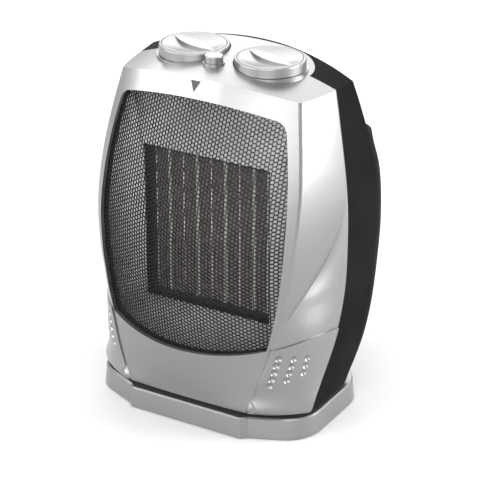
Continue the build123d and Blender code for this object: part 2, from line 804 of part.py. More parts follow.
def rear_shell(outer, inner, region):
    """Black rear half with the finger recess and the hole for the intake grille."""
    shell = (outer - inner) + shell_ledge(outer, inner)
    for x, z in screw_places():
        shell = shell + (rod_y(x, z, BOSS_RADIUS, SEAM_Y, FAR) & outer)
    shell = shell - region
    shell = shell - panel_slab()
    shell = shell - grille_outline(0, SEAM_Y)
    return drill_housing(shell)


def rear_grille(outer):
    """Slotted intake grille that fills the hole in the rear shell, with a flange inside it."""
    plate = (outer - body_loft(WALL)) & grille_outline(-SEAT_GAP / 2, SEAM_Y)
    behind = WALL + GRILLE_FLANGE_THICKNESS
    flange = (body_loft(WALL) - body_loft(behind)) & grille_outline(GRILLE_FLANGE, SEAM_Y)
    flange = flange - grille_outline(-GRILLE_BORDER, -FAR)
    grille = plate + flange
    height = GRILLE_TOP - GRILLE_BOTTOM - 2 * GRILLE_BORDER
    count = int(height / GRILLE_SLOT_PITCH)
    start = (GRILLE_TOP + GRILLE_BOTTOM) / 2 - (count - 1) * GRILLE_SLOT_PITCH / 2
    reach = GRILLE_HALF_WIDTH - GRILLE_BORDER
    slots = []
    for index in range(count):
        z = start + index * GRILLE_SLOT_PITCH
        edge = min(z - GRILLE_BOTTOM, GRILLE_TOP - z)
        narrow = max(0.0, GRILLE_CORNER - edge)
        half = reach - (GRILLE_CORNER - math.sqrt(GRILLE_CORNER ** 2 - narrow ** 2))
        for side in (1, -1):
            ends = sorted((side * GRILLE_SPINE / 2, side * half))
            low = z - GRILLE_SLOT_HEIGHT / 2
            slots.append(box_between((ends[0], SEAM_Y, low), (ends[1], FAR, low + GRILLE_SLOT_HEIGHT)))
    return grille - slots


def control_panel(outer):
    """Silver top with the two knob seats and the push button's collar."""
    panel = outer & panel_slab()
    dishes = []
    for side in (1, -1):
        panel = panel + rod_z(side * KNOB_X, KNOB_Y, SEAT_RADIUS, SEAT_BOTTOM, SEAT_TOP)
        dishes.append(rod_z(side * KNOB_X, KNOB_Y, DISH_RADIUS, SEAT_TOP, SEAT_TOP + FAR))
        dishes.append(rod_z(side * KNOB_X, KNOB_Y, BUSHING_RADIUS + SEAT_GAP, 0, SEAT_TOP + FAR))
    bore = BUTTON_RADIUS + MOVING_GAP
    collar = rod_z(BUTTON_X, BUTTON_Y, bore + BUTTON_COLLAR, BUTTON_BOSS_BOTTOM, BUTTON_COLLAR_TOP)
    panel = panel - dishes + collar
    panel = panel - rod_z(BUTTON_X, BUTTON_Y, bore, 0, FAR * 2)
    return panel - lens_prism(SEAT_GAP / 2, -FAR, CREST_Y + FAR)


def outlet_mesh():
    """Perforated sheet that follows the bowed front behind the collar."""
    sheet = (body_loft(MESH_FRONT) - body_loft(MESH_BACK)) & opening_cut(RING_WIDTH)
    row_height = MESH_PITCH * math.sqrt(0.75)
    rows = int((OPENING_TOP_HEIGHT - OPENING_LIP_HEIGHT) / row_height)
    half_count = int(OPENING_MIDDLE_X / MESH_PITCH) + 1
    inside = opening_outline(-MESH_BORDER - MESH_HOLE_RADIUS)
    holes = []
    for row in range(rows + 1):
        z = OPENING_LIP_HEIGHT + row * row_height
        shift = MESH_PITCH / 2 * (row % 2)
        for column in range(-half_count, half_count + 1):
            x = column * MESH_PITCH + shift
            if inside.is_inside((x, z, 0)):
                holes.append(rod_y(x, z, MESH_HOLE_RADIUS, -FRONT_DEPTH - WALL, ELEMENT_Y))
    return sheet - holes


def spacer_ring():
    """Black ring that spaces the funnel from the mesh."""
    band = body_loft(MESH_BACK) - body_loft(RING_BACK)
    return band & (opening_cut(RING_WIDTH) - opening_cut(0))


def rim_points(edge, count):
    """Points of an outline edge, set back to the funnel's rim behind the spacer ring."""
    points = []
    for index in range(count):
        place = edge @ (index / (count - 1))
        here = front_surface_y(place.X, place.Y)
        slope_x = front_surface_y(place.X + 1, place.Y) - here
        slope_z = front_surface_y(place.X, place.Y + 1) - here
        depth = RING_BACK * math.sqrt(1 + slope_x ** 2 + slope_z ** 2)
        points.append(Vector(place.X, here + depth, place.Y))
    return points


def funnel():
    """Bright funnel from the outlet's outline in to the window of the heating element."""
    outline = opening_outline(0)
    bottom = outline.edges().sort_by(Axis.Y)[0]
    top = outline.edges().sort_by(Axis.Y)[-1]
    right = outline.edges().sort_by(Axis.X)[-1]
    left = outline.edges().sort_by(Axis.X)[0]
    low_left = (-WINDOW_HALF_WIDTH, WINDOW_Y, WINDOW_BOTTOM)
    low_right = (WINDOW_HALF_WIDTH, WINDOW_Y, WINDOW_BOTTOM)
    high_left = (-WINDOW_HALF_WIDTH, WINDOW_Y, WINDOW_TOP)
    high_right = (WINDOW_HALF_WIDTH, WINDOW_Y, WINDOW_TOP)
    sides = (
        (bottom, low_left, low_right),
        (top, high_right, high_left),
        (right, low_right, high_right),
        (left, high_left, low_left),
    )
    body = None
    for rim, start, end in sides:
        curve = Edge.make_spline(rim_points(rim, FUNNEL_RIM_POINTS))
        wall = Face.make_surface_from_curves(curve, Edge.make_line(start, end))
        panel = extrude(wall, amount=FUNNEL_THICKNESS, dir=(0, 1, 0))
        body = panel if body is None else body + panel
    return body


def element_frame():
    """Black frame round the heating element, open as wide as the window in front of it."""
    outer_half = WINDOW_HALF_WIDTH + FRAME_WALL
    frame = box_between(
        (-outer_half, FRAME_FRONT_Y, WINDOW_BOTTOM - FRAME_WALL),
        (outer_half, BULKHEAD_Y, WINDOW_TOP + FRAME_WALL),
    )
    frame = frame - box_between(
        (-WINDOW_HALF_WIDTH, -FAR, WINDOW_BOTTOM), (WINDOW_HALF_WIDTH, ELEMENT_Y, WINDOW_TOP)
    )
    half_height = ELEMENT_HEIGHT / 2 + SEAT_GAP
    half_width = ELEMENT_HALF_WIDTH + SEAT_GAP
    return frame - box_between(
        (-half_width, -FAR, ELEMENT_MIDDLE - half_height), (half_width, FAR, ELEMENT_MIDDLE + half_height)
    )


def column_width():
    return 2 * ELEMENT_HALF_WIDTH / FIN_COLUMNS


def partition(index):
    """Place and thickness of the partition at one boundary between the fin columns."""
    x = -ELEMENT_HALF_WIDTH + index * column_width()
    if index == 0:
        return x + PLATE_THICKNESS / 2, PLATE_THICKNESS
    if index == FIN_COLUMNS:
        return x - PLATE_THICKNESS / 2, PLATE_THICKNESS
    return x, TUBE_THICKNESS if index % 2 else PLATE_THICKNESS


def partition_solid(index, extra_top, depth):
    x, thickness = partition(index)
    low = ELEMENT_MIDDLE - ELEMENT_HEIGHT / 2
    return box_between(
        (x - thickness / 2, ELEMENT_Y, low),
        (x + thickness / 2, ELEMENT_Y + depth, low + ELEMENT_HEIGHT + extra_top),
    )


def ceramic_tubes():
    return [partition_solid(index, 0, ELEMENT_DEPTH) for index in range(1, FIN_COLUMNS, 2)]


def contact_plates():
    return [partition_solid(index, 0, ELEMENT_DEPTH) for index in range(0, FIN_COLUMNS + 1, 2)]


def fin_column(index):
    """One corrugated strip between two partitions."""
    left, left_thickness = partition(index)
    right, right_thickness = partition(index + 1)
    x_low = left + left_thickness / 2 + FIN_GAP
    x_high = right - right_thickness / 2 - FIN_GAP
    rise = FIN_PITCH / 2
    across = FIN_SHEET * math.hypot(x_high - x_low, rise) / rise
    low = ELEMENT_MIDDLE - ELEMENT_HEIGHT / 2
    count = int(ELEMENT_HEIGHT / FIN_PITCH) * 2
    forward = []
    back = []
    for step in range(count + 1):
        x = x_low if step % 2 else x_high - across
        z = low + step * rise
        forward.append((x, ELEMENT_Y, z))
        back.append((x + across, ELEMENT_Y, z))
    strip = Face(Wire.make_polygon(forward + back[::-1]))
    return extrude(strip, amount=ELEMENT_DEPTH, dir=(0, 1, 0))


def corrugated_fins():
    return [fin_column(index) for index in range(FIN_COLUMNS)]


def element_terminals():
    """Push-on blades that stand up from the contact plates behind the element."""
    blades = []
    low = ELEMENT_MIDDLE + ELEMENT_HEIGHT / 2
    for index in range(0, FIN_COLUMNS + 1, TERMINAL_COLUMNS):
        x, thickness = partition(index)
        y = ELEMENT_BACK_Y - TERMINAL_WIDTH
        high = low + TERMINAL_LENGTH
        blades.append(box_between((x - thickness / 2, y, low), (x + thickness / 2, ELEMENT_BACK_Y, high)))
    return blades


def terminal_slots():
    """Room in the frame's top for the blades."""
    slots = []
    low = ELEMENT_MIDDLE + ELEMENT_HEIGHT / 2
    for index in range(0, FIN_COLUMNS + 1, TERMINAL_COLUMNS):
        x, thickness = partition(index)
        half = thickness / 2 + SEAT_GAP
        y = ELEMENT_BACK_Y - TERMINAL_WIDTH - SEAT_GAP
        slots.append(box_between((x - half, y, low), (x + half, ELEMENT_BACK_Y + SEAT_GAP, FAR)))
    return slots


def bulkhead():
    """Partition across the body that carries the element frame in front and the fan ring behind."""
    slab = box_between((-FAR, BULKHEAD_Y, BULKHEAD_BOTTOM), (FAR, BULKHEAD_BACK_Y, BULKHEAD_TOP))
    plate = body_loft(WALL + SEAT_GAP) & slab
    outer = FAN_RING_RADIUS + FAN_RING_WALL
    ring = rod_y(0, ELEMENT_MIDDLE, outer, BULKHEAD_BACK_Y, FAN_RING_REAR_Y)
    ring = ring - rod_y(0, ELEMENT_MIDDLE, FAN_RING_RADIUS, -FAR, FAR)
    window = box_between(
        (-ELEMENT_HALF_WIDTH, -FAR, ELEMENT_MIDDLE - ELEMENT_HEIGHT / 2),
        (ELEMENT_HALF_WIDTH, FAR, ELEMENT_MIDDLE + ELEMENT_HEIGHT / 2),
    )
    window = window & rod_y(0, ELEMENT_MIDDLE, FAN_RING_RADIUS, -FAR, FAR)
    return plate - window + ring


def motor_bracket():
    """Steel strap across the fan ring with the front bearing of the fan motor."""
    outer = FAN_RING_RADIUS + FAN_RING_WALL
    strap = box_between(
        (-outer, BRACKET_Y, ELEMENT_MIDDLE - BRACKET_WIDTH / 2),
        (outer, BRACKET_Y + BRACKET_THICKNESS, ELEMENT_MIDDLE + BRACKET_WIDTH / 2),
    )
    bearing = rod_y(0, ELEMENT_MIDDLE, BEARING_RADIUS, BRACKET_Y, CORE_Y)
    bracket = strap + bearing
    for side in (1, -1):
        bracket = bracket + rod_y(side * POST_X, ELEMENT_MIDDLE, POST_RADIUS, BRACKET_Y, CORE_Y)
    return bracket - rod_y(0, ELEMENT_MIDDLE, SHAFT_RADIUS + RUNNING_GAP, -FAR, FAR)


def motor_core():
    """Laminated core: a ring round the rotor with a leg below it for the coil."""
    low = ELEMENT_MIDDLE - CORE_HEIGHT + CORE_WIDTH / 2
    core = box_between(
        (-CORE_WIDTH / 2, CORE_Y, low), (CORE_WIDTH / 2, CORE_Y + CORE_DEPTH, ELEMENT_MIDDLE + CORE_WIDTH / 2)
    )
    core = fillet(core.edges().filter_by(Axis.Y), CORE_CORNER)
    bore = rod_y(0, ELEMENT_MIDDLE, ROTOR_RADIUS + MOVING_GAP, -FAR, FAR)
    half_width = COIL_WIDTH / 2 + COIL_GAP
    window_top = low + CORE_LEG + COIL_HEIGHT / 2
    window = box_between((-half_width, -FAR, low + CORE_LEG), (half_width, FAR, window_top))
    return core - bore - window


def motor_coil():
    """Winding on the core's lower leg."""
    low = ELEMENT_MIDDLE - CORE_HEIGHT + CORE_WIDTH / 2
    middle_y = CORE_Y + CORE_DEPTH / 2
    middle_z = low + CORE_LEG / 2
    coil = Pos(0, middle_y, middle_z) * Box(COIL_WIDTH, COIL_DEPTH, COIL_HEIGHT)
    coil = fillet(coil.edges().filter_by(Axis.X), COIL_CORNER)
    hole = box_between(
        (-FAR, CORE_Y - SEAT_GAP, low - SEAT_GAP),
        (FAR, CORE_Y + CORE_DEPTH + SEAT_GAP, low + CORE_LEG + SEAT_GAP),
    )
    return coil - hole


def rear_bearing():
    """Steel cross that holds the rear bearing of the fan motor."""
    start = CORE_Y + CORE_DEPTH
    end = start + BEARING_LENGTH
    half = POST_X + STRAP_OVERHANG
    width = BRACKET_WIDTH / 2
    strap = box_between(
        (-half, end, ELEMENT_MIDDLE - width / 2), (half, end + BRACKET_THICKNESS, ELEMENT_MIDDLE + width / 2)
    )
    cup = rod_y(0, ELEMENT_MIDDLE, BEARING_RADIUS, start + BEARING_GAP, end)
    bracket = strap + cup
    for side in (1, -1):
        bracket = bracket + rod_y(side * POST_X, ELEMENT_MIDDLE, POST_RADIUS, start, end)
    return bracket - rod_y(0, ELEMENT_MIDDLE, SHAFT_RADIUS + RUNNING_GAP, 0, end - SHAFT_END_GAP)


def fan_rotor():
    """Rotor on its shaft."""
    start = CORE_Y + MOVING_GAP * 2
    end = CORE_Y + CORE_DEPTH - MOVING_GAP * 2
    shaft_end = CORE_Y + CORE_DEPTH + BEARING_LENGTH - SHAFT_END_GAP - MOVING_GAP
    shaft = rod_y(0, ELEMENT_MIDDLE, SHAFT_RADIUS, FAN_HUB_Y + WALL, shaft_end)
    return rod_y(0, ELEMENT_MIDDLE, ROTOR_RADIUS, start, end) + shaft


def fan_blade(index):
    """One twisted blade from the hub to the tip."""
    slices = []
    root = (BLADE_ROOT_RADIUS, BLADE_ROOT_CHORD, BLADE_ROOT_PITCH)
    tip = (FAN_RADIUS, BLADE_TIP_CHORD, BLADE_TIP_PITCH)
    for radius, chord, pitch in (root, tip):
        profile = Plane(origin=(0, 0, radius), z_dir=(0, 0, 1)) * Rot(0, 0, 90 - pitch)
        slices.append(profile * Rectangle(BLADE_THICKNESS, chord))
    blade = loft(slices)
    middle = FAN_HUB_Y + FAN_HUB_DEPTH / 2
    return Pos(0, middle, ELEMENT_MIDDLE) * Rot(0, 360 / FAN_BLADES * index, 0) * blade


def fan_impeller():
    """Axial fan with a cupped hub."""
    hub = rod_y(0, ELEMENT_MIDDLE, FAN_HUB_RADIUS, FAN_HUB_Y, FAN_HUB_Y + FAN_HUB_DEPTH)
    cup = rod_y(0, ELEMENT_MIDDLE, FAN_HUB_RADIUS - WALL, FAN_HUB_Y + WALL, FAR)
    boss = rod_y(0, ELEMENT_MIDDLE, SHAFT_RADIUS + WALL, FAN_HUB_Y, FAN_HUB_Y + FAN_HUB_DEPTH)
    blades = [fan_blade(index) for index in range(FAN_BLADES)]
    fan = hub + blades - cup + boss
    tip = rod_y(0, ELEMENT_MIDDLE, FAN_RADIUS, -FAR, FAR)
    bore = rod_y(0, ELEMENT_MIDDLE, SHAFT_RADIUS, FAN_HUB_Y + WALL, FAR)
    return (fan & tip) - bore


def knob(side):
    """Drum-shaped knob: a ring groove round its face, two shallow scoops and the bar between them."""
    wall = KNOB_RADIUS - KNOB_DRAFT
    profile = Wire.make_polygon(
        [(0, 0, KNOB_BOTTOM), (KNOB_RADIUS, 0, KNOB_BOTTOM), (wall, 0, KNOB_TOP), (0, 0, KNOB_TOP)]
    )
    body = revolve(Face(profile), Axis.Z)
    body = fillet(body.edges().sort_by(Axis.Z)[-1], KNOB_SHOULDER)
    groove = rod_z(0, 0, KNOB_FACE_RADIUS + KNOB_GROOVE_WIDTH, KNOB_TOP - KNOB_GROOVE_DEPTH, FAR)
    body = body - (groove - rod_z(0, 0, KNOB_FACE_RADIUS, 0, FAR))
    scoop = KNOB_FACE_RADIUS - KNOB_RIM
    scoop_radius = (scoop ** 2 + KNOB_SCOOP_DEPTH ** 2) / (2 * KNOB_SCOOP_DEPTH)
    dish = Pos(0, 0, KNOB_TOP - KNOB_SCOOP_DEPTH + scoop_radius) * Sphere(scoop_radius)
    bar_radius = (KNOB_FACE_RADIUS ** 2 + (KNOB_BAR_WIDTH / 2) ** 2) / KNOB_BAR_WIDTH
    shift = bar_radius - KNOB_BAR_WIDTH / 2
    bar = rod_z(0, shift, bar_radius, 0, FAR) & rod_z(0, -shift, bar_radius, 0, FAR)
    body = body - (dish - Rot(0, 0, KNOB_BAR_ANGLE) * bar)
    hollow_top = KNOB_TOP - KNOB_SCOOP_DEPTH - KNOB_SKIRT_WALL
    hollow = rod_z(0, 0, wall - KNOB_SKIRT_WALL, 0, hollow_top)
    socket = rod_z(0, 0, SPINDLE_RADIUS + KNOB_SKIRT_WALL, KNOB_BOTTOM, hollow_top)
    bore = rod_z(0, 0, SPINDLE_RADIUS, 0, hollow_top)
    return Pos(side * KNOB_X, KNOB_Y, 0) * (body - hollow + socket - bore)


def spindle(side, low):
    """Shaft that the knob is pushed on to, down into its switch."""
    high = KNOB_TOP - KNOB_SCOOP_DEPTH - KNOB_SKIRT_WALL
    return rod_z(side * KNOB_X, KNOB_Y, SPINDLE_RADIUS, low, high)


def rotary_switch():
    """Square rotary switch under the left seat, with its bushing through the panel."""
    body = box_between(
        (-KNOB_X - SWITCH_WIDTH / 2, KNOB_Y - SWITCH_WIDTH / 2, SEAT_BOTTOM - SWITCH_HEIGHT),
        (-KNOB_X + SWITCH_WIDTH / 2, KNOB_Y + SWITCH_WIDTH / 2, SEAT_BOTTOM),
    )
    body = fillet(body.edges().filter_by(Axis.Z), SWITCH_CORNER)
    body = body + rod_z(-KNOB_X, KNOB_Y, BUSHING_RADIUS, SEAT_BOTTOM, SEAT_TOP)
    bore = SPINDLE_RADIUS + RUNNING_GAP
    return body - rod_z(-KNOB_X, KNOB_Y, bore, SEAT_BOTTOM - SWITCH_HEIGHT / 2, FAR)


def thermostat():
    """Round capillary thermostat under the right seat, with its bushing through the panel."""
    body = rod_z(KNOB_X, KNOB_Y, THERMOSTAT_RADIUS, SEAT_BOTTOM - THERMOSTAT_HEIGHT, SEAT_BOTTOM)
    body = fillet(body.edges(), THERMOSTAT_CORNER)
    body = body + rod_z(KNOB_X, KNOB_Y, BUSHING_RADIUS, SEAT_BOTTOM - THERMOSTAT_HEIGHT / 2, SEAT_TOP)
    bore = SPINDLE_RADIUS + RUNNING_GAP
    return body - rod_z(KNOB_X, KNOB_Y, bore, SEAT_BOTTOM - THERMOSTAT_HEIGHT / 2, FAR)


def oscillation_button():
    """Push button cap with its stem."""
    low = BUTTON_BOSS_BOTTOM + BUTTON_TRAVEL + MOVING_GAP
    cap = rod_z(BUTTON_X, BUTTON_Y, BUTTON_RADIUS, low, BUTTON_TOP)
    cap = fillet(cap.edges().sort_by(Axis.Z)[-1], BUTTON_EDGE)
    reach = PUSH_SWITCH_HEIGHT / 2
    return cap + rod_z(BUTTON_X, BUTTON_Y, BUTTON_STEM_RADIUS, BUTTON_BOSS_BOTTOM - reach / 2, low)


def oscillation_switch():
    """Push switch below the button, with a well for its stem."""
    half = PUSH_SWITCH_WIDTH / 2
    low = BUTTON_BOSS_BOTTOM - PUSH_SWITCH_HEIGHT
    body = box_between(
        (BUTTON_X - half, BUTTON_Y - half, low), (BUTTON_X + half, BUTTON_Y + half, BUTTON_BOSS_BOTTOM)
    )
    well = BUTTON_BOSS_BOTTOM - PUSH_SWITCH_HEIGHT / 4 - BUTTON_TRAVEL - MOVING_GAP * 2
    return body - rod_z(BUTTON_X, BUTTON_Y, BUTTON_STEM_RADIUS + MOVING_GAP, well, FAR)


def lens(outer):
    """Triangular pilot lens, flush with the bezel."""
    middle = (LENS_TOP + LENS_TIP) / 2
    return lens_prism(0, -FAR, front_surface_y(0, middle) + LENS_DEPTH) & outer


def pilot_lamp():
    """Neon lamp behind the lower half of the lens."""
    middle = (LENS_TOP + LENS_TIP * 2) / 3
    start = front_surface_y(0, (LENS_TOP + LENS_TIP) / 2) + LENS_DEPTH
    lamp = rod_y(0, middle, LAMP_RADIUS, start, start + LAMP_LENGTH)
    return fillet(lamp.edges().sort_by(Axis.Y)[-1], LAMP_TIP)


def round_corner(before, corner, after, radius):
    """Start, middle and end of the arc that rounds the corner between two straight edges."""
    into = (Vector(before) - Vector(corner)).normalized()
    out = (Vector(after) - Vector(corner)).normalized()
    middle = (into + out).normalized()
    half = math.radians(into.get_angle(out)) / 2
    reach = radius / math.tan(half)
    nearest = radius / math.sin(half) - radius
    return Vector(corner) + into * reach, Vector(corner) + middle * nearest, Vector(corner) + out * reach


def base_outline(z, inset):
    """Plan of the base: a nose in the middle, stepped back flanks and round corners."""
    edges = []
    front_y = BASE_FRONT_Y + inset
    rear_y = BASE_REAR_Y - inset
    nose = BASE_NOSE_HALF_WIDTH - inset / 2
    for side in (1, -1):
        step = (side * (nose + BASE_STEP), front_y + BASE_STEP, z)
        front = (side * (BASE_HALF_WIDTH - inset), BASE_CORNER_Y + inset, z)
        rear = (side * (BASE_HALF_WIDTH - inset), rear_y, z)
        front_arc = round_corner(step, front, rear, BASE_FRONT_CORNER - inset)
        rear_arc = round_corner(front, rear, (0, rear_y, z), BASE_REAR_CORNER - inset)
        edges.append(Edge.make_line((0, front_y, z), (side * nose, front_y, z)))
        edges.append(Edge.make_line((side * nose, front_y, z), step))
        edges.append(Edge.make_line(step, front_arc[0]))
        edges.append(Edge.make_three_point_arc(*front_arc))
        edges.append(Edge.make_line(front_arc[2], rear_arc[0]))
        edges.append(Edge.make_three_point_arc(*rear_arc))
        edges.append(Edge.make_line(rear_arc[2], (0, rear_y, z)))
    return Face(Wire(edges))


def base_block(low, high, inset):
    """Solid of the base's plan between two heights, narrowing upwards."""
    draft = math.tan(math.radians(BASE_TAPER))
    plans = [base_outline(z, inset + z * draft) for z in (low, high)]
    return loft(plans, ruled=True)


def base_rim():
    """Bevelled top edge of the base."""
    draft = math.tan(math.radians(BASE_TAPER))
    low = BASE_TOP - BASE_EDGE
    plans = [base_outline(low, low * draft), base_outline(BASE_TOP, BASE_TOP * draft + BASE_EDGE)]
    return loft(plans, ruled=True)


def base_screw_places():
    places = []
    for side in (1, -1):
        places.append((side * BASE_SCREW_X, BASE_SCREW_FRONT_Y))
        places.append((side * BASE_SCREW_X, BASE_SCREW_REAR_Y))
    return places


def base_cover():
    """Silver base shell with the swivel boss and the screw bosses."""
    cover = base_block(BASE_CLEAR, BASE_TOP - BASE_EDGE, 0) + base_rim()
    cover = cover - base_block(0, BASE_INSIDE_TOP, BASE_WALL)
    cover = cover + rod_z(0, 0, BUSH_FLANGE_RADIUS, BASE_INSIDE_TOP, BASE_BOSS_TOP)
    for x, y in base_screw_places():
        cover = cover + rod_z(x, y, BASE_BOSS_RADIUS, BASE_PLATE_TOP, BASE_INSIDE_TOP)
        cover = cover - rod_z(x, y, BASE_SCREW_RADIUS + SCREW_GAP, 0, BASE_PLATE_TOP + BASE_SCREW_LENGTH)
    cover = cover - rod_z(0, 0, BUSH_RADIUS + RUNNING_GAP, 0, FAR)
    return cover - rod_y(0, GROMMET_HEIGHT, GROMMET_RADIUS, RETAINER_RADIUS + BASE_WALL, FAR)


def base_plate():
    """Bottom plate inside the base shell."""
    plate = base_block(BASE_PLATE_BOTTOM, BASE_PLATE_TOP, BASE_WALL + SEAT_GAP)
    for x, y in base_screw_places():
        plate = plate - rod_z(x, y, BASE_SCREW_RADIUS + SCREW_GAP, 0, FAR)
        head_top = BASE_PLATE_BOTTOM + BASE_SCREW_HEAD_HEIGHT
        plate = plate - rod_z(x, y, BASE_SCREW_HEAD + SEAT_GAP, 0, head_top)
    return plate


def base_screws():
    screws = []
    for x, y in base_screw_places():
        head_top = BASE_PLATE_BOTTOM + BASE_SCREW_HEAD_HEIGHT
        head = rod_z(x, y, BASE_SCREW_HEAD, BASE_PLATE_BOTTOM, head_top)
        shank_top = BASE_PLATE_TOP + BASE_SCREW_LENGTH - SEAT_GAP
        screws.append(head + rod_z(x, y, BASE_SCREW_RADIUS, BASE_PLATE_BOTTOM, shank_top))
    return screws


def rubber_feet():
    feet = []
    for side in (1, -1):
        for y in (FOOT_FRONT_Y, FOOT_REAR_Y):
            foot = rod_z(side * FOOT_X, y, FOOT_RADIUS, 0, BASE_PLATE_BOTTOM)
            feet.append(chamfer(foot.edges().sort_by(Axis.Z)[0], BASE_PLATE_BOTTOM / 4))
    return feet


def cord_grommet():
    """Bush in the back of the base where the mains lead comes in."""
    draft = math.tan(math.radians(BASE_TAPER))
    back = BASE_REAR_Y - GROMMET_HEIGHT * draft
    inside = back - BASE_WALL - GROMMET_FLANGE
    body = rod_y(0, GROMMET_HEIGHT, GROMMET_RADIUS - RUNNING_GAP, inside, back + GROMMET_FLANGE)
    lip_start = back + (GROMMET_RADIUS + GROMMET_LIP) * draft + SEAT_GAP
    lip = rod_y(0, GROMMET_HEIGHT, GROMMET_RADIUS + GROMMET_LIP, lip_start, back + GROMMET_FLANGE)
    return body + lip - rod_y(0, GROMMET_HEIGHT, GROMMET_BORE, 0, FAR)


def swivel_bush():
    """Plain bearing in the base boss, with a flange that carries the housing."""
    bush = rod_z(0, 0, BUSH_RADIUS, BASE_INSIDE_TOP, BASE_BOSS_TOP)
    bush = bush + rod_z(0, 0, BUSH_FLANGE_RADIUS, BASE_BOSS_TOP, BUSH_TOP)
    return bush - rod_z(0, 0, SPIGOT_RADIUS + RUNNING_GAP, 0, FAR)


def housing_floor():
    """Floor of the swivelling housing, with the hollow spigot through the base."""
    slab = box_between((-FAR, -FAR, FLOOR_BOTTOM), (FAR, FAR, FLOOR_TOP))
    floor = body_loft(WALL + SEAT_GAP) & slab
    floor = floor + rod_z(0, 0, BUSH_FLANGE_RADIUS, BUSH_TOP + MOVING_GAP, FLOOR_BOTTOM)
    floor = floor + rod_z(0, 0, SPIGOT_RADIUS, RETAINER_TOP, FLOOR_BOTTOM)
    floor = floor - rod_z(0, 0, SPIGOT_BORE, 0, FAR)
    floor = floor - rod_z(0, -DRIVE_OFFSET, CRANK_SHAFT_RADIUS + CRANK_SHAFT_CLEARANCE, 0, FAR)
    for x, y in floor_screw_places():
        floor = floor - rod_z(x, y, SCREW_RADIUS + SCREW_GAP, 0, FAR)
    for x, y in retainer_screw_places():
        top = RETAINER_TOP + RETAINER_SCREW_LENGTH
        floor = floor - rod_z(x, y, RETAINER_SCREW_RADIUS + SCREW_GAP, 0, top)
    return floor


def retainer_screw_places():
    radius = (SPIGOT_RADIUS + SPIGOT_BORE) / 2
    places = []
    for index in range(RETAINER_SCREW_COUNT):
        angle = math.pi / 2 + 2 * math.pi * index / RETAINER_SCREW_COUNT
        places.append((radius * math.cos(angle), radius * math.sin(angle)))
    return places


def retaining_washer():
    """Washer screwed under the spigot, which keeps the housing on the base."""
    low = RETAINER_TOP - RETAINER_THICKNESS
    washer = rod_z(0, 0, RETAINER_RADIUS, low, RETAINER_TOP) - rod_z(0, 0, SPIGOT_BORE, 0, FAR)
    for x, y in retainer_screw_places():
        washer = washer - rod_z(x, y, RETAINER_SCREW_RADIUS + SCREW_GAP, 0, FAR)
    return washer


def retainer_screws():
    screws = []
    low = RETAINER_TOP - RETAINER_THICKNESS
    for x, y in retainer_screw_places():
        head = rod_z(x, y, RETAINER_SCREW_HEAD, low - RETAINER_SCREW_RADIUS, low)
        top = RETAINER_TOP + RETAINER_SCREW_LENGTH - SEAT_GAP
        screws.append(head + rod_z(x, y, RETAINER_SCREW_RADIUS, low - RETAINER_SCREW_RADIUS, top))
    return screws


def floor_screws():
    screws = []
    for x, y in floor_screw_places():
        head = rod_z(x, y, SCREW_HEAD_RADIUS, FLOOR_BOTTOM - SCREW_HEAD_HEIGHT, FLOOR_BOTTOM)
        top = FLOOR_TOP + FLOOR_SCREW_LENGTH - SEAT_GAP
        screws.append(head + rod_z(x, y, SCREW_RADIUS, FLOOR_BOTTOM - SCREW_HEAD_HEIGHT, top))
    return screws


def housing_screws():
    """Long screws from the back that pull the rear shell on to the front."""
    screws = []
    seat = SEAM_Y + SCREW_WEB
    for x, z in screw_places():
        head = rod_y(x, z, SCREW_HEAD_RADIUS, seat, seat + SCREW_HEAD_HEIGHT)
        screws.append(head + rod_y(x, z, SCREW_RADIUS, SEAM_Y - SCREW_BITE, seat + SCREW_HEAD_HEIGHT))
    return screws


def drive_motor():
    """Flat synchronous motor on the housing floor."""
    can = rod_z(0, -DRIVE_OFFSET, DRIVE_MOTOR_RADIUS, FLOOR_TOP, FLOOR_TOP + DRIVE_MOTOR_HEIGHT)
    can = fillet(can.edges().sort_by(Axis.Z)[-1], DRIVE_MOTOR_CORNER)
    bore_top = FLOOR_TOP + DRIVE_MOTOR_HEIGHT / 2
    return can - rod_z(0, -DRIVE_OFFSET, CRANK_SHAFT_RADIUS + RUNNING_GAP, 0, bore_top)


def crank():
    """Crank arm with its shaft up into the motor and its pin down into the guide."""
    pin_y = -DRIVE_OFFSET - CRANK_THROW
    top = CRANK_BOTTOM + CRANK_THICKNESS
    half = CRANK_ARM_HALF_WIDTH
    arm = rod_z(0, -DRIVE_OFFSET, CRANK_HUB_RADIUS, CRANK_BOTTOM, top)
    arm = arm + rod_z(0, pin_y, half, CRANK_BOTTOM, top)
    arm = arm + box_between((-half, pin_y, CRANK_BOTTOM), (half, -DRIVE_OFFSET, top))
    arm = arm + rod_z(0, pin_y, CRANK_PIN_RADIUS, BASE_TOP + MOVING_GAP * 2, CRANK_BOTTOM)
    shaft_top = FLOOR_TOP + DRIVE_MOTOR_HEIGHT / 2 - MOVING_GAP
    return arm + rod_z(0, -DRIVE_OFFSET, CRANK_SHAFT_RADIUS, CRANK_BOTTOM, shaft_top)


def crank_guide():
    """Plate on the base whose slot holds the crank pin to the middle line."""
    far_y = DRIVE_OFFSET + CRANK_THROW + CRANK_PIN_RADIUS + SLOT_END_GAP
    swing = math.radians(SWING_LIMIT)
    near_y = DRIVE_OFFSET * math.cos(swing) - CRANK_PIN_RADIUS - SLOT_END_GAP
    half_slot = CRANK_PIN_RADIUS + SLOT_SIDE_GAP
    plate = box_between(
        (-GUIDE_WIDTH / 2, -far_y - WALL, BASE_TOP), (GUIDE_WIDTH / 2, -near_y + WALL / 2, GUIDE_TOP)
    )
    slot = box_between((-half_slot, -far_y, 0), (half_slot, -near_y, FAR))
    slot = fillet(slot.edges().filter_by(Axis.Z), half_slot - SEAT_GAP)
    return plate - slot


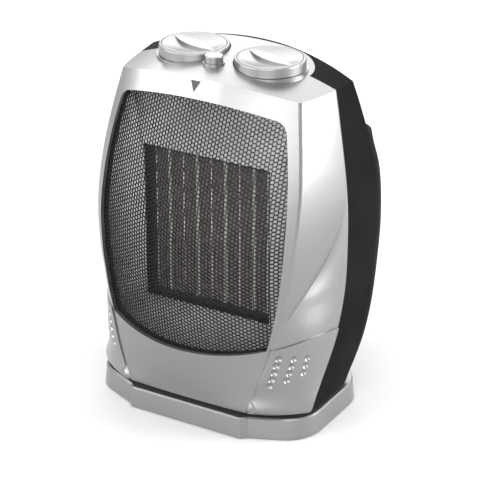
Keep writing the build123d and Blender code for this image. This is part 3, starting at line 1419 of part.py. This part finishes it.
def unit_on_floor(size, x, y):
    return box_between(
        (x - size[0] / 2, y - size[1] / 2, FLOOR_TOP), (x + size[0] / 2, y + size[1] / 2, FLOOR_TOP + size[2])
    )


def terminal_block():
    """Screw terminals where the mains lead joins the wiring."""
    block = unit_on_floor(TERMINAL_BLOCK_SIZE, TERMINAL_BLOCK_X, TERMINAL_BLOCK_Y)
    pitch = TERMINAL_BLOCK_SIZE[0] / TERMINAL_BLOCK_POLES
    well_bottom = FLOOR_TOP + TERMINAL_BLOCK_SIZE[2] - TERMINAL_WELL_DEPTH
    for index in range(TERMINAL_BLOCK_POLES):
        x = TERMINAL_BLOCK_X + (index - (TERMINAL_BLOCK_POLES - 1) / 2) * pitch
        block = block - rod_z(x, TERMINAL_BLOCK_Y, BASE_SCREW_HEAD, well_bottom, FAR)
    return block


def tilt_switch():
    return unit_on_floor(TILT_SWITCH_SIZE, TILT_SWITCH_X, TILT_SWITCH_Y)


def thermal_cutout():
    """Bimetal disc cut-out on top of the element frame."""
    low = WINDOW_TOP + FRAME_WALL
    y = (ELEMENT_Y + ELEMENT_BACK_Y) / 2
    can = rod_z(CUTOUT_X, y, CUTOUT_RADIUS, low, low + CUTOUT_HEIGHT)
    return fillet(can.edges().sort_by(Axis.Z)[-1], CUTOUT_CORNER)


def save(name, shape):
    solids = shape if isinstance(shape, list) else [shape]
    flat = [solid for item in solids for solid in item.solids()]
    export_step(Compound(flat), "parts/" + name + ".step")


def main():
    os.makedirs("parts", exist_ok=True)
    outer = body_form(0)
    inner = body_form(WALL)
    region = front_region()
    save("front_shell", front_shell(outer, inner, region))
    save("rear_shell", rear_shell(outer, inner, region))
    save("control_panel", control_panel(outer))
    save("rear_grille", rear_grille(outer))
    save("outlet_mesh", outlet_mesh())
    save("spacer_ring", spacer_ring())
    save("funnel", funnel())
    save("element_frame", element_frame() - terminal_slots())
    save("ceramic_tubes", ceramic_tubes())
    save("contact_plates", contact_plates())
    save("corrugated_fins", corrugated_fins())
    save("element_terminals", element_terminals())
    save("bulkhead", bulkhead())
    save("motor_bracket", motor_bracket())
    save("motor_core", motor_core())
    save("motor_coil", motor_coil())
    save("rear_bearing", rear_bearing())
    save("fan_rotor", fan_rotor())
    save("fan_impeller", fan_impeller())
    save("function_knob", knob(-1))
    save("thermostat_knob", knob(1))
    save("function_spindle", spindle(-1, SEAT_BOTTOM - SWITCH_HEIGHT / 2 + MOVING_GAP))
    save("thermostat_spindle", spindle(1, SEAT_BOTTOM - THERMOSTAT_HEIGHT / 2 + MOVING_GAP))
    save("function_switch", rotary_switch())
    save("thermostat", thermostat())
    save("oscillation_button", oscillation_button())
    save("oscillation_switch", oscillation_switch())
    save("pilot_lens", lens(outer))
    save("pilot_lamp", pilot_lamp())
    save("base_cover", base_cover())
    save("base_plate", base_plate())
    save("base_screws", base_screws())
    save("rubber_feet", rubber_feet())
    save("cord_grommet", cord_grommet())
    save("swivel_bush", swivel_bush())
    save("housing_floor", housing_floor())
    save("retaining_washer", retaining_washer())
    save("retainer_screws", retainer_screws())
    save("floor_screws", floor_screws())
    save("housing_screws", housing_screws())
    save("drive_motor", drive_motor())
    save("crank", crank())
    save("crank_guide", crank_guide())
    save("terminal_block", terminal_block())
    save("tilt_switch", tilt_switch())
    save("thermal_cutout", thermal_cutout())


if __name__ == "__main__":
    main()
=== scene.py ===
import json
import math

import bmesh
import bpy
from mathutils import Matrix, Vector


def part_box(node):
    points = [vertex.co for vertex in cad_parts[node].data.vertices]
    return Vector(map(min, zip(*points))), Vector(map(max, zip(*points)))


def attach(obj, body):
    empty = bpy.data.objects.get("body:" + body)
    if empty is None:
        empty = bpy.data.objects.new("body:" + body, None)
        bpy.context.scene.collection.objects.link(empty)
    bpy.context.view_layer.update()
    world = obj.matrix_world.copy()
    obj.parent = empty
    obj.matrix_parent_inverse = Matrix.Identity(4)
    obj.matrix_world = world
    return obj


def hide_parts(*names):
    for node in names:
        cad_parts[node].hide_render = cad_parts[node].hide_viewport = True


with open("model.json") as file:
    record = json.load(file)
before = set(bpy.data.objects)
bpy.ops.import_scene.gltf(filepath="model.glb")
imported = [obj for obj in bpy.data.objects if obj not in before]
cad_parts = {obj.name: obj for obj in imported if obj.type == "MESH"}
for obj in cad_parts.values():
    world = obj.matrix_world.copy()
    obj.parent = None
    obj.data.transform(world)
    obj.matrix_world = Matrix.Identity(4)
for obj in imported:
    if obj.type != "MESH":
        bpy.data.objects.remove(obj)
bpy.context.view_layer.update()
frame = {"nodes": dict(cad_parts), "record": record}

NODES = frame["nodes"]
MM = 0.001

# Light and floor: places in metres
LIGHT_AIM = Vector((0, 0, 0.13))
WORLD_GLOW = 0.75
FLOOR_REACH = 6.0

# Camera, fitted to the photograph: place in metres, angles in radians, lens and sensor in millimetres
CAMERA_PLACE = (0.6300, -1.0521, 0.6739)
CAMERA_AZIMUTH = 0.5348
CAMERA_ELEVATION = 0.4285
CAMERA_LENS = 146.3
CAMERA_SENSOR = 36.0

# Outside of the front, in millimetres, as the housing's source has it
BODY_BOTTOM = 19.0
CREST_HEIGHT = 245.8
BODY_HALF_WIDTH = 88.3
FRONT_DEPTH = 77.8
FRONT_RADIUS = 125.0
SLOPE_STEP = 1.0

# Shares of the front's depth, of the half width at its creases and of its bow, each at a share of the height
FRONT_SHARES = (
    (0.0, 0.778),
    (0.22, 0.933),
    (0.34, 0.977),
    (0.46, 1.0),
    (0.58, 0.977),
    (0.75, 0.848),
    (0.95, 0.626),
    (1.08, 0.45),
)
CREASE_SHARES = ((0.0, 0.495), (0.22, 0.70), (0.40, 0.829), (0.585, 0.882), (0.76, 0.861), (1.08, 0.715))
BOW_SHARES = ((0.0, 0.12), (0.11, 0.66), (0.22, 1.0), (1.08, 1.0))

# Air outlet, in millimetres: x and height of the points on its outline
OPENING_CORNER = (60.8, 68.7)
OPENING_LIP_HEIGHT = 60.2
OPENING_MIDDLE = (71.5, 152.0)
OPENING_SHOULDER = (62.3, 223.9)
OPENING_TOP_HEIGHT = 233.5
OPENING_FILLET = 11.0

# Way from the shoulder to the fillet's centre, as shares of the fillet's radius
FILLET_INWARD = 0.93
FILLET_DOWN = 0.86

# Mesh of the outlet, in millimetres
MESH_DEPTH = 3.4
MESH_THICKNESS = 0.7
MESH_PITCH = 2.8
MESH_WEB = 0.58
MESH_OVERLAP = 1.6

# Columns and rows of mesh holes that are tried beyond the opening
MESH_SPARE_COLUMNS = 2
MESH_SPARE_ROWS = 4

# Fins of the heating element, in millimetres
FIN_COLUMNS = 8
FIN_MARGIN = 1.3
FIN_PITCH = 1.3
FIN_SHEET = 0.12

# Caps in the screw wells of the rear shell, in millimetres: the seat is the y of their inner ends
CAP_PLACES = ((-75.0, 57.0), (75.0, 57.0), (-69.0, 194.0), (69.0, 194.0))
CAP_RADIUS = 3.5
CAP_DIMPLE_RADIUS = 1.575
CAP_SEAT = 14.0
CAP_SINK = 0.4
CAP_BEVEL = 0.4
CAP_LEDGE = 195.9
CAP_SIDES = 32

# Where rays measure the shell round a cap, in millimetres: at its sides, a little down, and twice under it
PROBE_SIDE = 4.4
PROBE_DROP = 1.32
PROBE_UNDER = 4.4
PROBE_LOWER = 7.04
RAY_START = 1000.0

# Dark rings of painted shade at the foot of the knobs' ring grooves, in millimetres
GROOVE_SHADE_INNER = 21.72
GROOVE_SHADE_OUTER = 22.28
GROOVE_SHADE_FOOT = 251.15
GROOVE_SHADE_TOP = 251.65
GROOVE_SHADE_BEVEL = 0.13
GROOVE_SHADE_BEVEL_DROP = 0.1
GROOVE_SHADE_SIDES = 96

# Texture values between which a colour goes from dark to light
RAMP_START = 0.3
RAMP_END = 0.7

# Nodes that are hidden in the housing or lie behind the mesh, and are a lighter black
INNER_BLACK_NODES = ("bulkhead", "element_frame", "housing_floor", "spacer_ring")


# Shape of the front and of its opening


def blend(points, place):
    """Smooth curve through the points: each has a place and a value."""
    places = [point[0] for point in points]
    values = [point[1] for point in points]
    last = len(points) - 1
    slopes = []
    for index in range(last + 1):
        before = max(index - 1, 0)
        after = min(index + 1, last)
        slopes.append((values[after] - values[before]) / (places[after] - places[before]))
    index = 0
    while index < last - 1 and place > places[index + 1]:
        index += 1
    span = places[index + 1] - places[index]
    share = (place - places[index]) / span
    start = values[index] * (1 + 2 * share) * (1 - share) ** 2
    end = values[index + 1] * (3 - 2 * share) * share ** 2
    rise = slopes[index] * share * (1 - share) ** 2
    fall = slopes[index + 1] * (share - 1) * share ** 2
    return start + end + span * (rise + fall)


def height_share(z):
    return (z - BODY_BOTTOM) / (CREST_HEIGHT - BODY_BOTTOM)


def front_surface_y(x, z):
    """Y of the bowed front at a place on it, in millimetres."""
    share = height_share(z)
    crease = BODY_HALF_WIDTH * blend(CREASE_SHARES, share)
    sag = (FRONT_RADIUS - math.sqrt(FRONT_RADIUS ** 2 - crease ** 2)) * blend(BOW_SHARES, share)
    radius = (crease ** 2 + sag ** 2) / (2 * sag)
    return -FRONT_DEPTH * blend(FRONT_SHARES, share) + radius - math.sqrt(radius ** 2 - x ** 2)


def behind_front(x, z, depth):
    """Point at a depth below the bowed front, measured square to it."""
    y = front_surface_y(x, z)
    slope_x = front_surface_y(x + SLOPE_STEP, z) - y
    slope_z = front_surface_y(x, z + SLOPE_STEP) - y
    normal = Vector((-slope_x, SLOPE_STEP, -slope_z)).normalized()
    return Vector((x, y, z)) + normal * depth


def arc_through(first, middle, last):
    """Centre and radius of the arc through three (x, z) points."""
    (x1, z1), (x2, z2), (x3, z3) = first, middle, last
    divisor = 2 * (x1 * (z2 - z3) + x2 * (z3 - z1) + x3 * (z1 - z2))
    square1 = x1 ** 2 + z1 ** 2
    square2 = x2 ** 2 + z2 ** 2
    square3 = x3 ** 2 + z3 ** 2
    centre_x = (square1 * (z2 - z3) + square2 * (z3 - z1) + square3 * (z1 - z2)) / divisor
    centre_z = (square1 * (x3 - x2) + square2 * (x1 - x3) + square3 * (x2 - x1)) / divisor
    return centre_x, centre_z, math.hypot(x1 - centre_x, z1 - centre_z)


def outside(arc, x, z):
    centre_x, centre_z, radius = arc
    return math.hypot(x - centre_x, z - centre_z) > radius


def in_opening(x, z, grow):
    """Whether a place lies in the outlet's outline, grown by some millimetres."""
    x = abs(x)
    corner = (OPENING_CORNER[0] + grow, OPENING_CORNER[1] - grow)
    shoulder = (OPENING_SHOULDER[0] + grow, OPENING_SHOULDER[1] + grow)
    side = arc_through(corner, (OPENING_MIDDLE[0] + grow, OPENING_MIDDLE[1]), shoulder)
    lip = arc_through((-corner[0], corner[1]), (0, OPENING_LIP_HEIGHT - grow), corner)
    top = arc_through((-shoulder[0], shoulder[1]), (0, OPENING_TOP_HEIGHT + grow), shoulder)
    if outside(side, x, z) or outside(top, x, z):
        return False
    if z < corner[1] and outside(lip, x, z):
        return False
    fillet = OPENING_FILLET + grow
    round_x = shoulder[0] - fillet * FILLET_INWARD
    round_z = shoulder[1] - fillet * FILLET_DOWN
    if x > round_x and z > round_z:
        return math.hypot(x - round_x, z - round_z) < fillet
    return True


# Pieces


def paint(item, material):
    item.data.materials.clear()
    item.data.materials.append(material)


def new_piece(mesh, name, body, material):
    """Puts a finished mesh into the scene as a piece that rides on its body."""
    data = bpy.data.meshes.new(name)
    mesh.to_mesh(data)
    mesh.free()
    item = bpy.data.objects.new(name, data)
    bpy.context.scene.collection.objects.link(item)
    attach(item, body)
    paint(item, material)
    return item


def thicken(item, thickness):
    """Gives a sheet its thickness in millimetres, half of it to each side."""
    solid = item.modifiers.new("sheet", "SOLIDIFY")
    solid.thickness = thickness * MM
    solid.offset = 0


def circle(sides):
    """Cosine and sine of angles at even steps round a circle."""
    angles = [2 * math.pi * turn / sides for turn in range(sides)]
    return [(math.cos(angle), math.sin(angle)) for angle in angles]


def join_rings(mesh, rings):
    """Lays faces between each ring of vertices and the next one."""
    for first, second in zip(rings, rings[1:]):
        for turn in range(len(first)):
            after = (turn + 1) % len(first)
            mesh.faces.new((first[turn], first[after], second[after], second[turn]))


# Materials


def principled(name, color, metallic, roughness):
    """New material with its node tree and its shader."""
    material = bpy.data.materials.new(name)
    material.use_nodes = True
    tree = material.node_tree
    shader = tree.nodes["Principled BSDF"]
    shader.inputs["Base Color"].default_value = (*color, 1)
    shader.inputs["Metallic"].default_value = metallic
    shader.inputs["Roughness"].default_value = roughness
    return material, tree, shader


def noise(tree, scale, detail, stretch=(1, 1, 1)):
    place = tree.nodes.new("ShaderNodeTexCoord")
    mapping = tree.nodes.new("ShaderNodeMapping")
    mapping.inputs["Scale"].default_value = stretch
    texture = tree.nodes.new("ShaderNodeTexNoise")
    texture.inputs["Scale"].default_value = scale
    texture.inputs["Detail"].default_value = detail
    tree.links.new(place.outputs["Object"], mapping.inputs["Vector"])
    tree.links.new(mapping.outputs["Vector"], texture.inputs["Vector"])
    return texture.outputs["Fac"]


def vary_roughness(tree, source, shader, low, high):
    """Lets a texture move the roughness between two values."""
    ramp = tree.nodes.new("ShaderNodeMapRange")
    ramp.inputs["To Min"].default_value = low
    ramp.inputs["To Max"].default_value = high
    tree.links.new(source, ramp.inputs["Value"])
    tree.links.new(ramp.outputs["Result"], shader.inputs["Roughness"])


def vary_color(tree, source, shader, dark, light):
    """Lets a texture move the colour from dark to light."""
    ramp = tree.nodes.new("ShaderNodeValToRGB")
    first, last = ramp.color_ramp.elements
    first.color = (*dark, 1)
    last.color = (*light, 1)
    first.position = RAMP_START
    last.position = RAMP_END
    tree.links.new(source, ramp.inputs["Fac"])
    tree.links.new(ramp.outputs["Color"], shader.inputs["Base Color"])


def bump(tree, source, shader, strength, distance):
    node = tree.nodes.new("ShaderNodeBump")
    node.inputs["Strength"].default_value = strength
    node.inputs["Distance"].default_value = distance
    tree.links.new(source, node.inputs["Height"])
    tree.links.new(node.outputs["Normal"], shader.inputs["Normal"])


def grey(value, warmth=0.0):
    return (value, value, value * (1 - warmth))


def silver_lacquer():
    material, tree, shader = principled("silver_lacquer", grey(0.235), metallic=0.85, roughness=0.34)
    flakes = noise(tree, scale=9000, detail=2.0)
    cloud = noise(tree, scale=30, detail=3.0)
    vary_color(tree, flakes, shader, grey(0.205), grey(0.265))
    vary_roughness(tree, cloud, shader, 0.31, 0.38)
    bump(tree, flakes, shader, strength=0.05, distance=0.0001)
    shader.inputs["Coat Weight"].default_value = 0.3
    shader.inputs["Coat Roughness"].default_value = 0.15
    return material


def bright_plate():
    material, tree, shader = principled("bright_plate", grey(0.6), metallic=0.6, roughness=0.34)
    cloud = noise(tree, scale=60, detail=3.0)
    vary_color(tree, cloud, shader, grey(0.52), grey(0.64))
    vary_roughness(tree, cloud, shader, 0.3, 0.42)
    return material


def moulded(name, dark, light, roughness, grain=2600, depth=0.12, shine=0.5):
    """Moulded plastic with a fine grain."""
    material, tree, shader = principled(name, dark, metallic=0.0, roughness=roughness[0])
    fine = noise(tree, scale=grain, detail=3.0)
    cloud = noise(tree, scale=25, detail=3.0)
    vary_color(tree, cloud, shader, dark, light)
    vary_roughness(tree, fine, shader, *roughness)
    bump(tree, fine, shader, strength=depth, distance=0.0002)
    shader.inputs["Specular IOR Level"].default_value = shine
    return material


def sheet_metal(name, dark, light, roughness, stretch=(1, 1, 1), metallic=1.0):
    """Metal with a fine grain, which a stretch draws out along one direction."""
    material, tree, shader = principled(name, light, metallic, roughness[0])
    grain = noise(tree, scale=400, detail=4.0, stretch=stretch)
    vary_color(tree, grain, shader, dark, light)
    vary_roughness(tree, grain, shader, *roughness)
    return material


def black_lacquer():
    material, tree, shader = principled("black_lacquer", grey(0.01), metallic=0.0, roughness=0.5)
    cloud = noise(tree, scale=800, detail=3.0)
    vary_color(tree, cloud, shader, grey(0.006), grey(0.014))
    vary_roughness(tree, cloud, shader, 0.42, 0.6)
    shader.inputs["Specular IOR Level"].default_value = 0.08
    return material


def copper_winding():
    material, tree, shader = principled("copper_winding", (0.6, 0.25, 0.1), metallic=0.9, roughness=0.35)
    place = tree.nodes.new("ShaderNodeTexCoord")
    wave = tree.nodes.new("ShaderNodeTexWave")
    wave.bands_direction = "X"
    wave.inputs["Scale"].default_value = 600
    tree.links.new(place.outputs["Object"], wave.inputs["Vector"])
    vary_color(tree, wave.outputs["Fac"], shader, (0.35, 0.13, 0.05), (0.75, 0.33, 0.14))
    bump(tree, wave.outputs["Fac"], shader, strength=0.5, distance=0.0003)
    return material


def smoked_lens():
    material, tree, shader = principled("smoked_lens", grey(0.03), metallic=0.0, roughness=0.25)
    cloud = noise(tree, scale=700, detail=2.0)
    vary_color(tree, cloud, shader, grey(0.025), grey(0.035))
    shader.inputs["Specular IOR Level"].default_value = 0.2
    return material


def lamp_glass():
    material, tree, shader = principled("lamp_glass", (0.9, 0.7, 0.55), metallic=0.0, roughness=0.05)
    cloud = noise(tree, scale=500, detail=2.0)
    vary_color(tree, cloud, shader, (0.8, 0.55, 0.4), (0.95, 0.8, 0.7))
    shader.inputs["Transmission Weight"].default_value = 0.8
    return material


SILVER = silver_lacquer()
BRIGHT = bright_plate()
BLACK = moulded("satin_black", grey(0.002), grey(0.005), (0.46, 0.56), shine=0.03)
BLACK_INSIDE = moulded("inner_black", grey(0.010), grey(0.02), (0.5, 0.65))
PALE = moulded("natural_plastic", (0.62, 0.58, 0.5), (0.72, 0.69, 0.62), (0.4, 0.55))
RUBBER = moulded("soft_rubber", grey(0.015), grey(0.03), (0.75, 0.9), grain=1500, depth=0.3)
CERAMIC = moulded("fired_ceramic", grey(0.20, 0.05), grey(0.32, 0.08), (0.6, 0.8), grain=900, depth=0.2)
FINS = sheet_metal("fin_aluminium", (0.42, 0.39, 0.385), (0.74, 0.70, 0.69), (0.3, 0.5), metallic=0.6)
STEEL = sheet_metal("zinced_steel", grey(0.45), grey(0.62), (0.28, 0.42), stretch=(1, 8, 1))
BRASS = sheet_metal("plain_brass", (0.6, 0.45, 0.2), (0.8, 0.64, 0.34), (0.25, 0.4))
MESH = black_lacquer()
COPPER = copper_winding()
LENS = smoked_lens()
GLASS = lamp_glass()

FINISHES = {
    "silver_plastic": SILVER,
    "black_plastic": BLACK,
    "black_mesh": MESH,
    "bright_sheet": BRIGHT,
    "plain_aluminium": FINS,
    "element_ceramic": CERAMIC,
    "plain_steel": STEEL,
    "plain_brass": BRASS,
    "copper_winding": COPPER,
    "pale_plastic": PALE,
    "black_rubber": RUBBER,
    "smoked_lens": LENS,
    "lamp_glass": GLASS,
}


def paint_nodes():
    """Gives every node of the frame the finish of its slot."""
    slots = {part["node"]: part["material_slot"] for part in frame["record"]["subparts"]}
    for name, item in NODES.items():
        paint(item, FINISHES[slots[name]])
    for name in INNER_BLACK_NODES:
        paint(NODES[name], BLACK_INSIDE)


# Mesh of the outlet


def hexagon(x, z, radius):
    angles = [math.radians(60 * turn) for turn in range(6)]
    return [(x + radius * math.cos(angle), z + radius * math.sin(angle)) for angle in angles]


def outlet_grid():
    """Sheet of small hexagonal holes that follows the bowed front."""
    mesh = bmesh.new()
    known = {}

    def corner(x, z):
        key = (round(x, 2), round(z, 2))
        if key not in known:
            known[key] = mesh.verts.new(behind_front(x, z, MESH_DEPTH) * MM)
        return known[key]

    column_step = MESH_PITCH * math.sqrt(0.75)
    columns = int(OPENING_MIDDLE[0] / column_step) + MESH_SPARE_COLUMNS
    rows = int((OPENING_TOP_HEIGHT - OPENING_LIP_HEIGHT) / MESH_PITCH) + MESH_SPARE_ROWS
    outer = MESH_PITCH / math.sqrt(3)
    inner = outer - MESH_WEB / math.sqrt(3)
    for column in range(-columns, columns + 1):
        x = column * column_step
        for row in range(rows):
            z = OPENING_LIP_HEIGHT - MESH_PITCH + (row + 0.5 * (column % 2)) * MESH_PITCH
            if not in_opening(x, z, MESH_OVERLAP):
                continue
            rim = [corner(*place) for place in hexagon(x, z, outer)]
            hole = [corner(*place) for place in hexagon(x, z, inner)]
            for turn in range(6):
                after = (turn + 1) % 6
                mesh.faces.new((rim[turn], rim[after], hole[after], hole[turn]))
    mesh.normal_update()
    item = new_piece(mesh, "outlet_grid", "housing", MESH)
    thicken(item, MESH_THICKNESS)
    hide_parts("outlet_mesh")


# Fins of the heating element


def fine_fins():
    """Finely corrugated strips between the partitions, in place of the coarse ones."""
    low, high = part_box("corrugated_fins")
    plates_low, plates_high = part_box("contact_plates")
    width = (plates_high.x - plates_low.x) / FIN_COLUMNS
    margin = FIN_MARGIN * MM
    mesh = bmesh.new()
    count = int((plates_high.z - plates_low.z) / (FIN_PITCH * MM))
    for column in range(FIN_COLUMNS):
        left = plates_low.x + column * width + margin
        right = left + width - 2 * margin
        rows = []
        for step in range(2 * count + 1):
            x = left if step % 2 else right
            z = plates_low.z + step * FIN_PITCH * MM / 2
            rows.append((mesh.verts.new((x, low.y, z)), mesh.verts.new((x, high.y, z))))
        for first, second in zip(rows, rows[1:]):
            mesh.faces.new((first[0], second[0], second[1], first[1]))
    mesh.normal_update()
    item = new_piece(mesh, "fine_fins", "housing", FINS)
    thicken(item, FIN_SHEET)
    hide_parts("corrugated_fins")


# Caps over the housing screws


def rear_shell_y(x, z):
    """Y of the rear shell's outside at a place, in metres, found by a ray from behind."""
    depsgraph = bpy.context.evaluated_depsgraph_get()
    start = Vector((x, RAY_START, z)) * MM
    return bpy.context.scene.ray_cast(depsgraph, start, (0, -1, 0))[1].y


def shell_over_well(x, z):
    """Y at which the rear shell would close a screw well, in metres, and its slopes there."""
    left = rear_shell_y(x - PROBE_SIDE, z - PROBE_DROP)
    right = rear_shell_y(x + PROBE_SIDE, z - PROBE_DROP)
    under = rear_shell_y(x, z - PROBE_UNDER)
    lower = rear_shell_y(x, z - PROBE_LOWER)
    slope_x = (right - left) / (2 * PROBE_SIDE * MM)
    slope_z = (under - lower) / ((PROBE_LOWER - PROBE_UNDER) * MM)
    return under + slope_z * PROBE_UNDER * MM, slope_x, slope_z


def add_cap(mesh, x, z):
    """Adds one cap, with a bevelled edge and a dimple, cut off at the shell's ledge."""
    middle, slope_x, slope_z = shell_over_well(x, z)

    def ring(radius, sink=None):
        """Ring of vertices that is sunk below the shell's outside, or else lies on the seat."""
        corners = []
        for across, up in circle(CAP_SIDES):
            side = radius * across * MM
            rise = min(radius * up, CAP_LEDGE - z) * MM
            y = CAP_SEAT * MM
            if sink is not None:
                y = middle + slope_x * side + slope_z * rise - sink * MM
            corners.append(mesh.verts.new((x * MM + side, y, z * MM + rise)))
        return corners

    rings = [
        ring(CAP_RADIUS),
        ring(CAP_RADIUS, CAP_SINK + CAP_BEVEL),
        ring(CAP_RADIUS - CAP_BEVEL, CAP_SINK),
        ring(CAP_DIMPLE_RADIUS, CAP_SINK + CAP_BEVEL),
    ]
    join_rings(mesh, rings)
    mesh.faces.new(rings[-1])
    mesh.faces.new(rings[0][::-1])


def screw_caps():
    """Push-in covers that close the four screw wells in the rear shell."""
    mesh = bmesh.new()
    for x, z in CAP_PLACES:
        add_cap(mesh, x, z)
    mesh.normal_update()
    bmesh.ops.recalc_face_normals(mesh, faces=mesh.faces)
    new_piece(mesh, "screw_caps", "housing", BLACK)


# Painted shade: dark rings in the knobs' ring grooves


def groove_shade_ring(knob, body):
    """Dark ring with bevelled edges that fills the foot of the groove round a knob's face: painted shade
    that stands in for the groove's shadow.
    """
    low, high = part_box(knob)
    middle = (low + high) / 2
    profile = (
        (GROOVE_SHADE_INNER, GROOVE_SHADE_FOOT),
        (GROOVE_SHADE_OUTER, GROOVE_SHADE_FOOT),
        (GROOVE_SHADE_OUTER, GROOVE_SHADE_TOP - GROOVE_SHADE_BEVEL_DROP),
        (GROOVE_SHADE_OUTER - GROOVE_SHADE_BEVEL, GROOVE_SHADE_TOP),
        (GROOVE_SHADE_INNER + GROOVE_SHADE_BEVEL, GROOVE_SHADE_TOP),
        (GROOVE_SHADE_INNER, GROOVE_SHADE_TOP - GROOVE_SHADE_BEVEL_DROP),
    )
    mesh = bmesh.new()
    rings = []
    for radius, height in profile:
        ring = []
        for across, along in circle(GROOVE_SHADE_SIDES):
            x = middle.x + radius * MM * across
            y = middle.y + radius * MM * along
            ring.append(mesh.verts.new((x, y, height * MM)))
        rings.append(ring)
    join_rings(mesh, rings + rings[:1])
    bmesh.ops.recalc_face_normals(mesh, faces=mesh.faces)
    # The dark ring is painted shade for the groove's shadow, not a part of the knob
    new_piece(mesh, knob + "_groove_shade", body, BLACK_INSIDE)


# Surroundings


def floor():
    directions = ((-1, -1), (1, -1), (1, 1), (-1, 1))
    corners = [(side * FLOOR_REACH, back * FLOOR_REACH, 0) for side, back in directions]
    mesh = bpy.data.meshes.new("floor")
    mesh.from_pydata(corners, [], [(0, 1, 2, 3)])
    item = bpy.data.objects.new("floor", mesh)
    bpy.context.scene.collection.objects.link(item)
    material, tree, shader = principled("pale_floor", grey(0.5), metallic=0.0, roughness=0.8)
    cloud = noise(tree, scale=3, detail=2.0)
    vary_color(tree, cloud, shader, grey(0.49), grey(0.52))
    paint(item, material)


def softbox(name, azimuth, elevation, distance, size, glow):
    """Soft light aimed at the middle of the heater; the glow is how bright its face looks."""
    azimuth = math.radians(azimuth)
    elevation = math.radians(elevation)
    flat = math.cos(elevation)
    away = Vector((math.sin(azimuth) * flat, -math.cos(azimuth) * flat, math.sin(elevation)))
    data = bpy.data.lights.new(name, "AREA")
    data.shape = "RECTANGLE"
    data.size, data.size_y = size
    data.energy = glow * math.pi * size[0] * size[1]
    item = bpy.data.objects.new(name, data)
    item.location = LIGHT_AIM + away * distance
    item.rotation_mode = "QUATERNION"
    item.rotation_quaternion = (-away).to_track_quat("-Z", "Y")
    bpy.context.scene.collection.objects.link(item)


def studio():
    world = bpy.data.worlds.new("studio")
    bpy.context.scene.world = world
    world.use_nodes = True
    back = world.node_tree.nodes["Background"]
    back.inputs["Color"].default_value = (1, 1, 1, 1)
    back.inputs["Strength"].default_value = WORLD_GLOW
    softbox("front_left", azimuth=-46, elevation=22, distance=1.9, size=(2.2, 1.3), glow=5.6)
    softbox("front_right", azimuth=20, elevation=16, distance=1.9, size=(1.7, 1.1), glow=5.0)
    softbox("right_rear", azimuth=116, elevation=14, distance=1.6, size=(0.9, 1.1), glow=12.5)
    softbox("rear", azimuth=194, elevation=34, distance=1.8, size=(2.4, 1.1), glow=2.8)
    softbox("overhead", azimuth=20, elevation=88, distance=1.7, size=(1.3, 1.3), glow=3.2)


def camera():
    data = bpy.data.cameras.new("camera")
    data.lens = CAMERA_LENS
    data.sensor_width = CAMERA_SENSOR
    item = bpy.data.objects.new("camera", data)
    item.location = CAMERA_PLACE
    item.rotation_euler = (math.pi / 2 - CAMERA_ELEVATION, 0, CAMERA_AZIMUTH)
    bpy.context.scene.collection.objects.link(item)
    bpy.context.scene.camera = item


camera()
studio()
floor()
paint_nodes()
outlet_grid()
fine_fins()
screw_caps()
# Painted shade: dark rings in the grooves of both knobs
groove_shade_ring("function_knob", "function_control")
groove_shade_ring("thermostat_knob", "thermostat_control")

bpy.context.scene.view_settings.view_transform = "Standard"
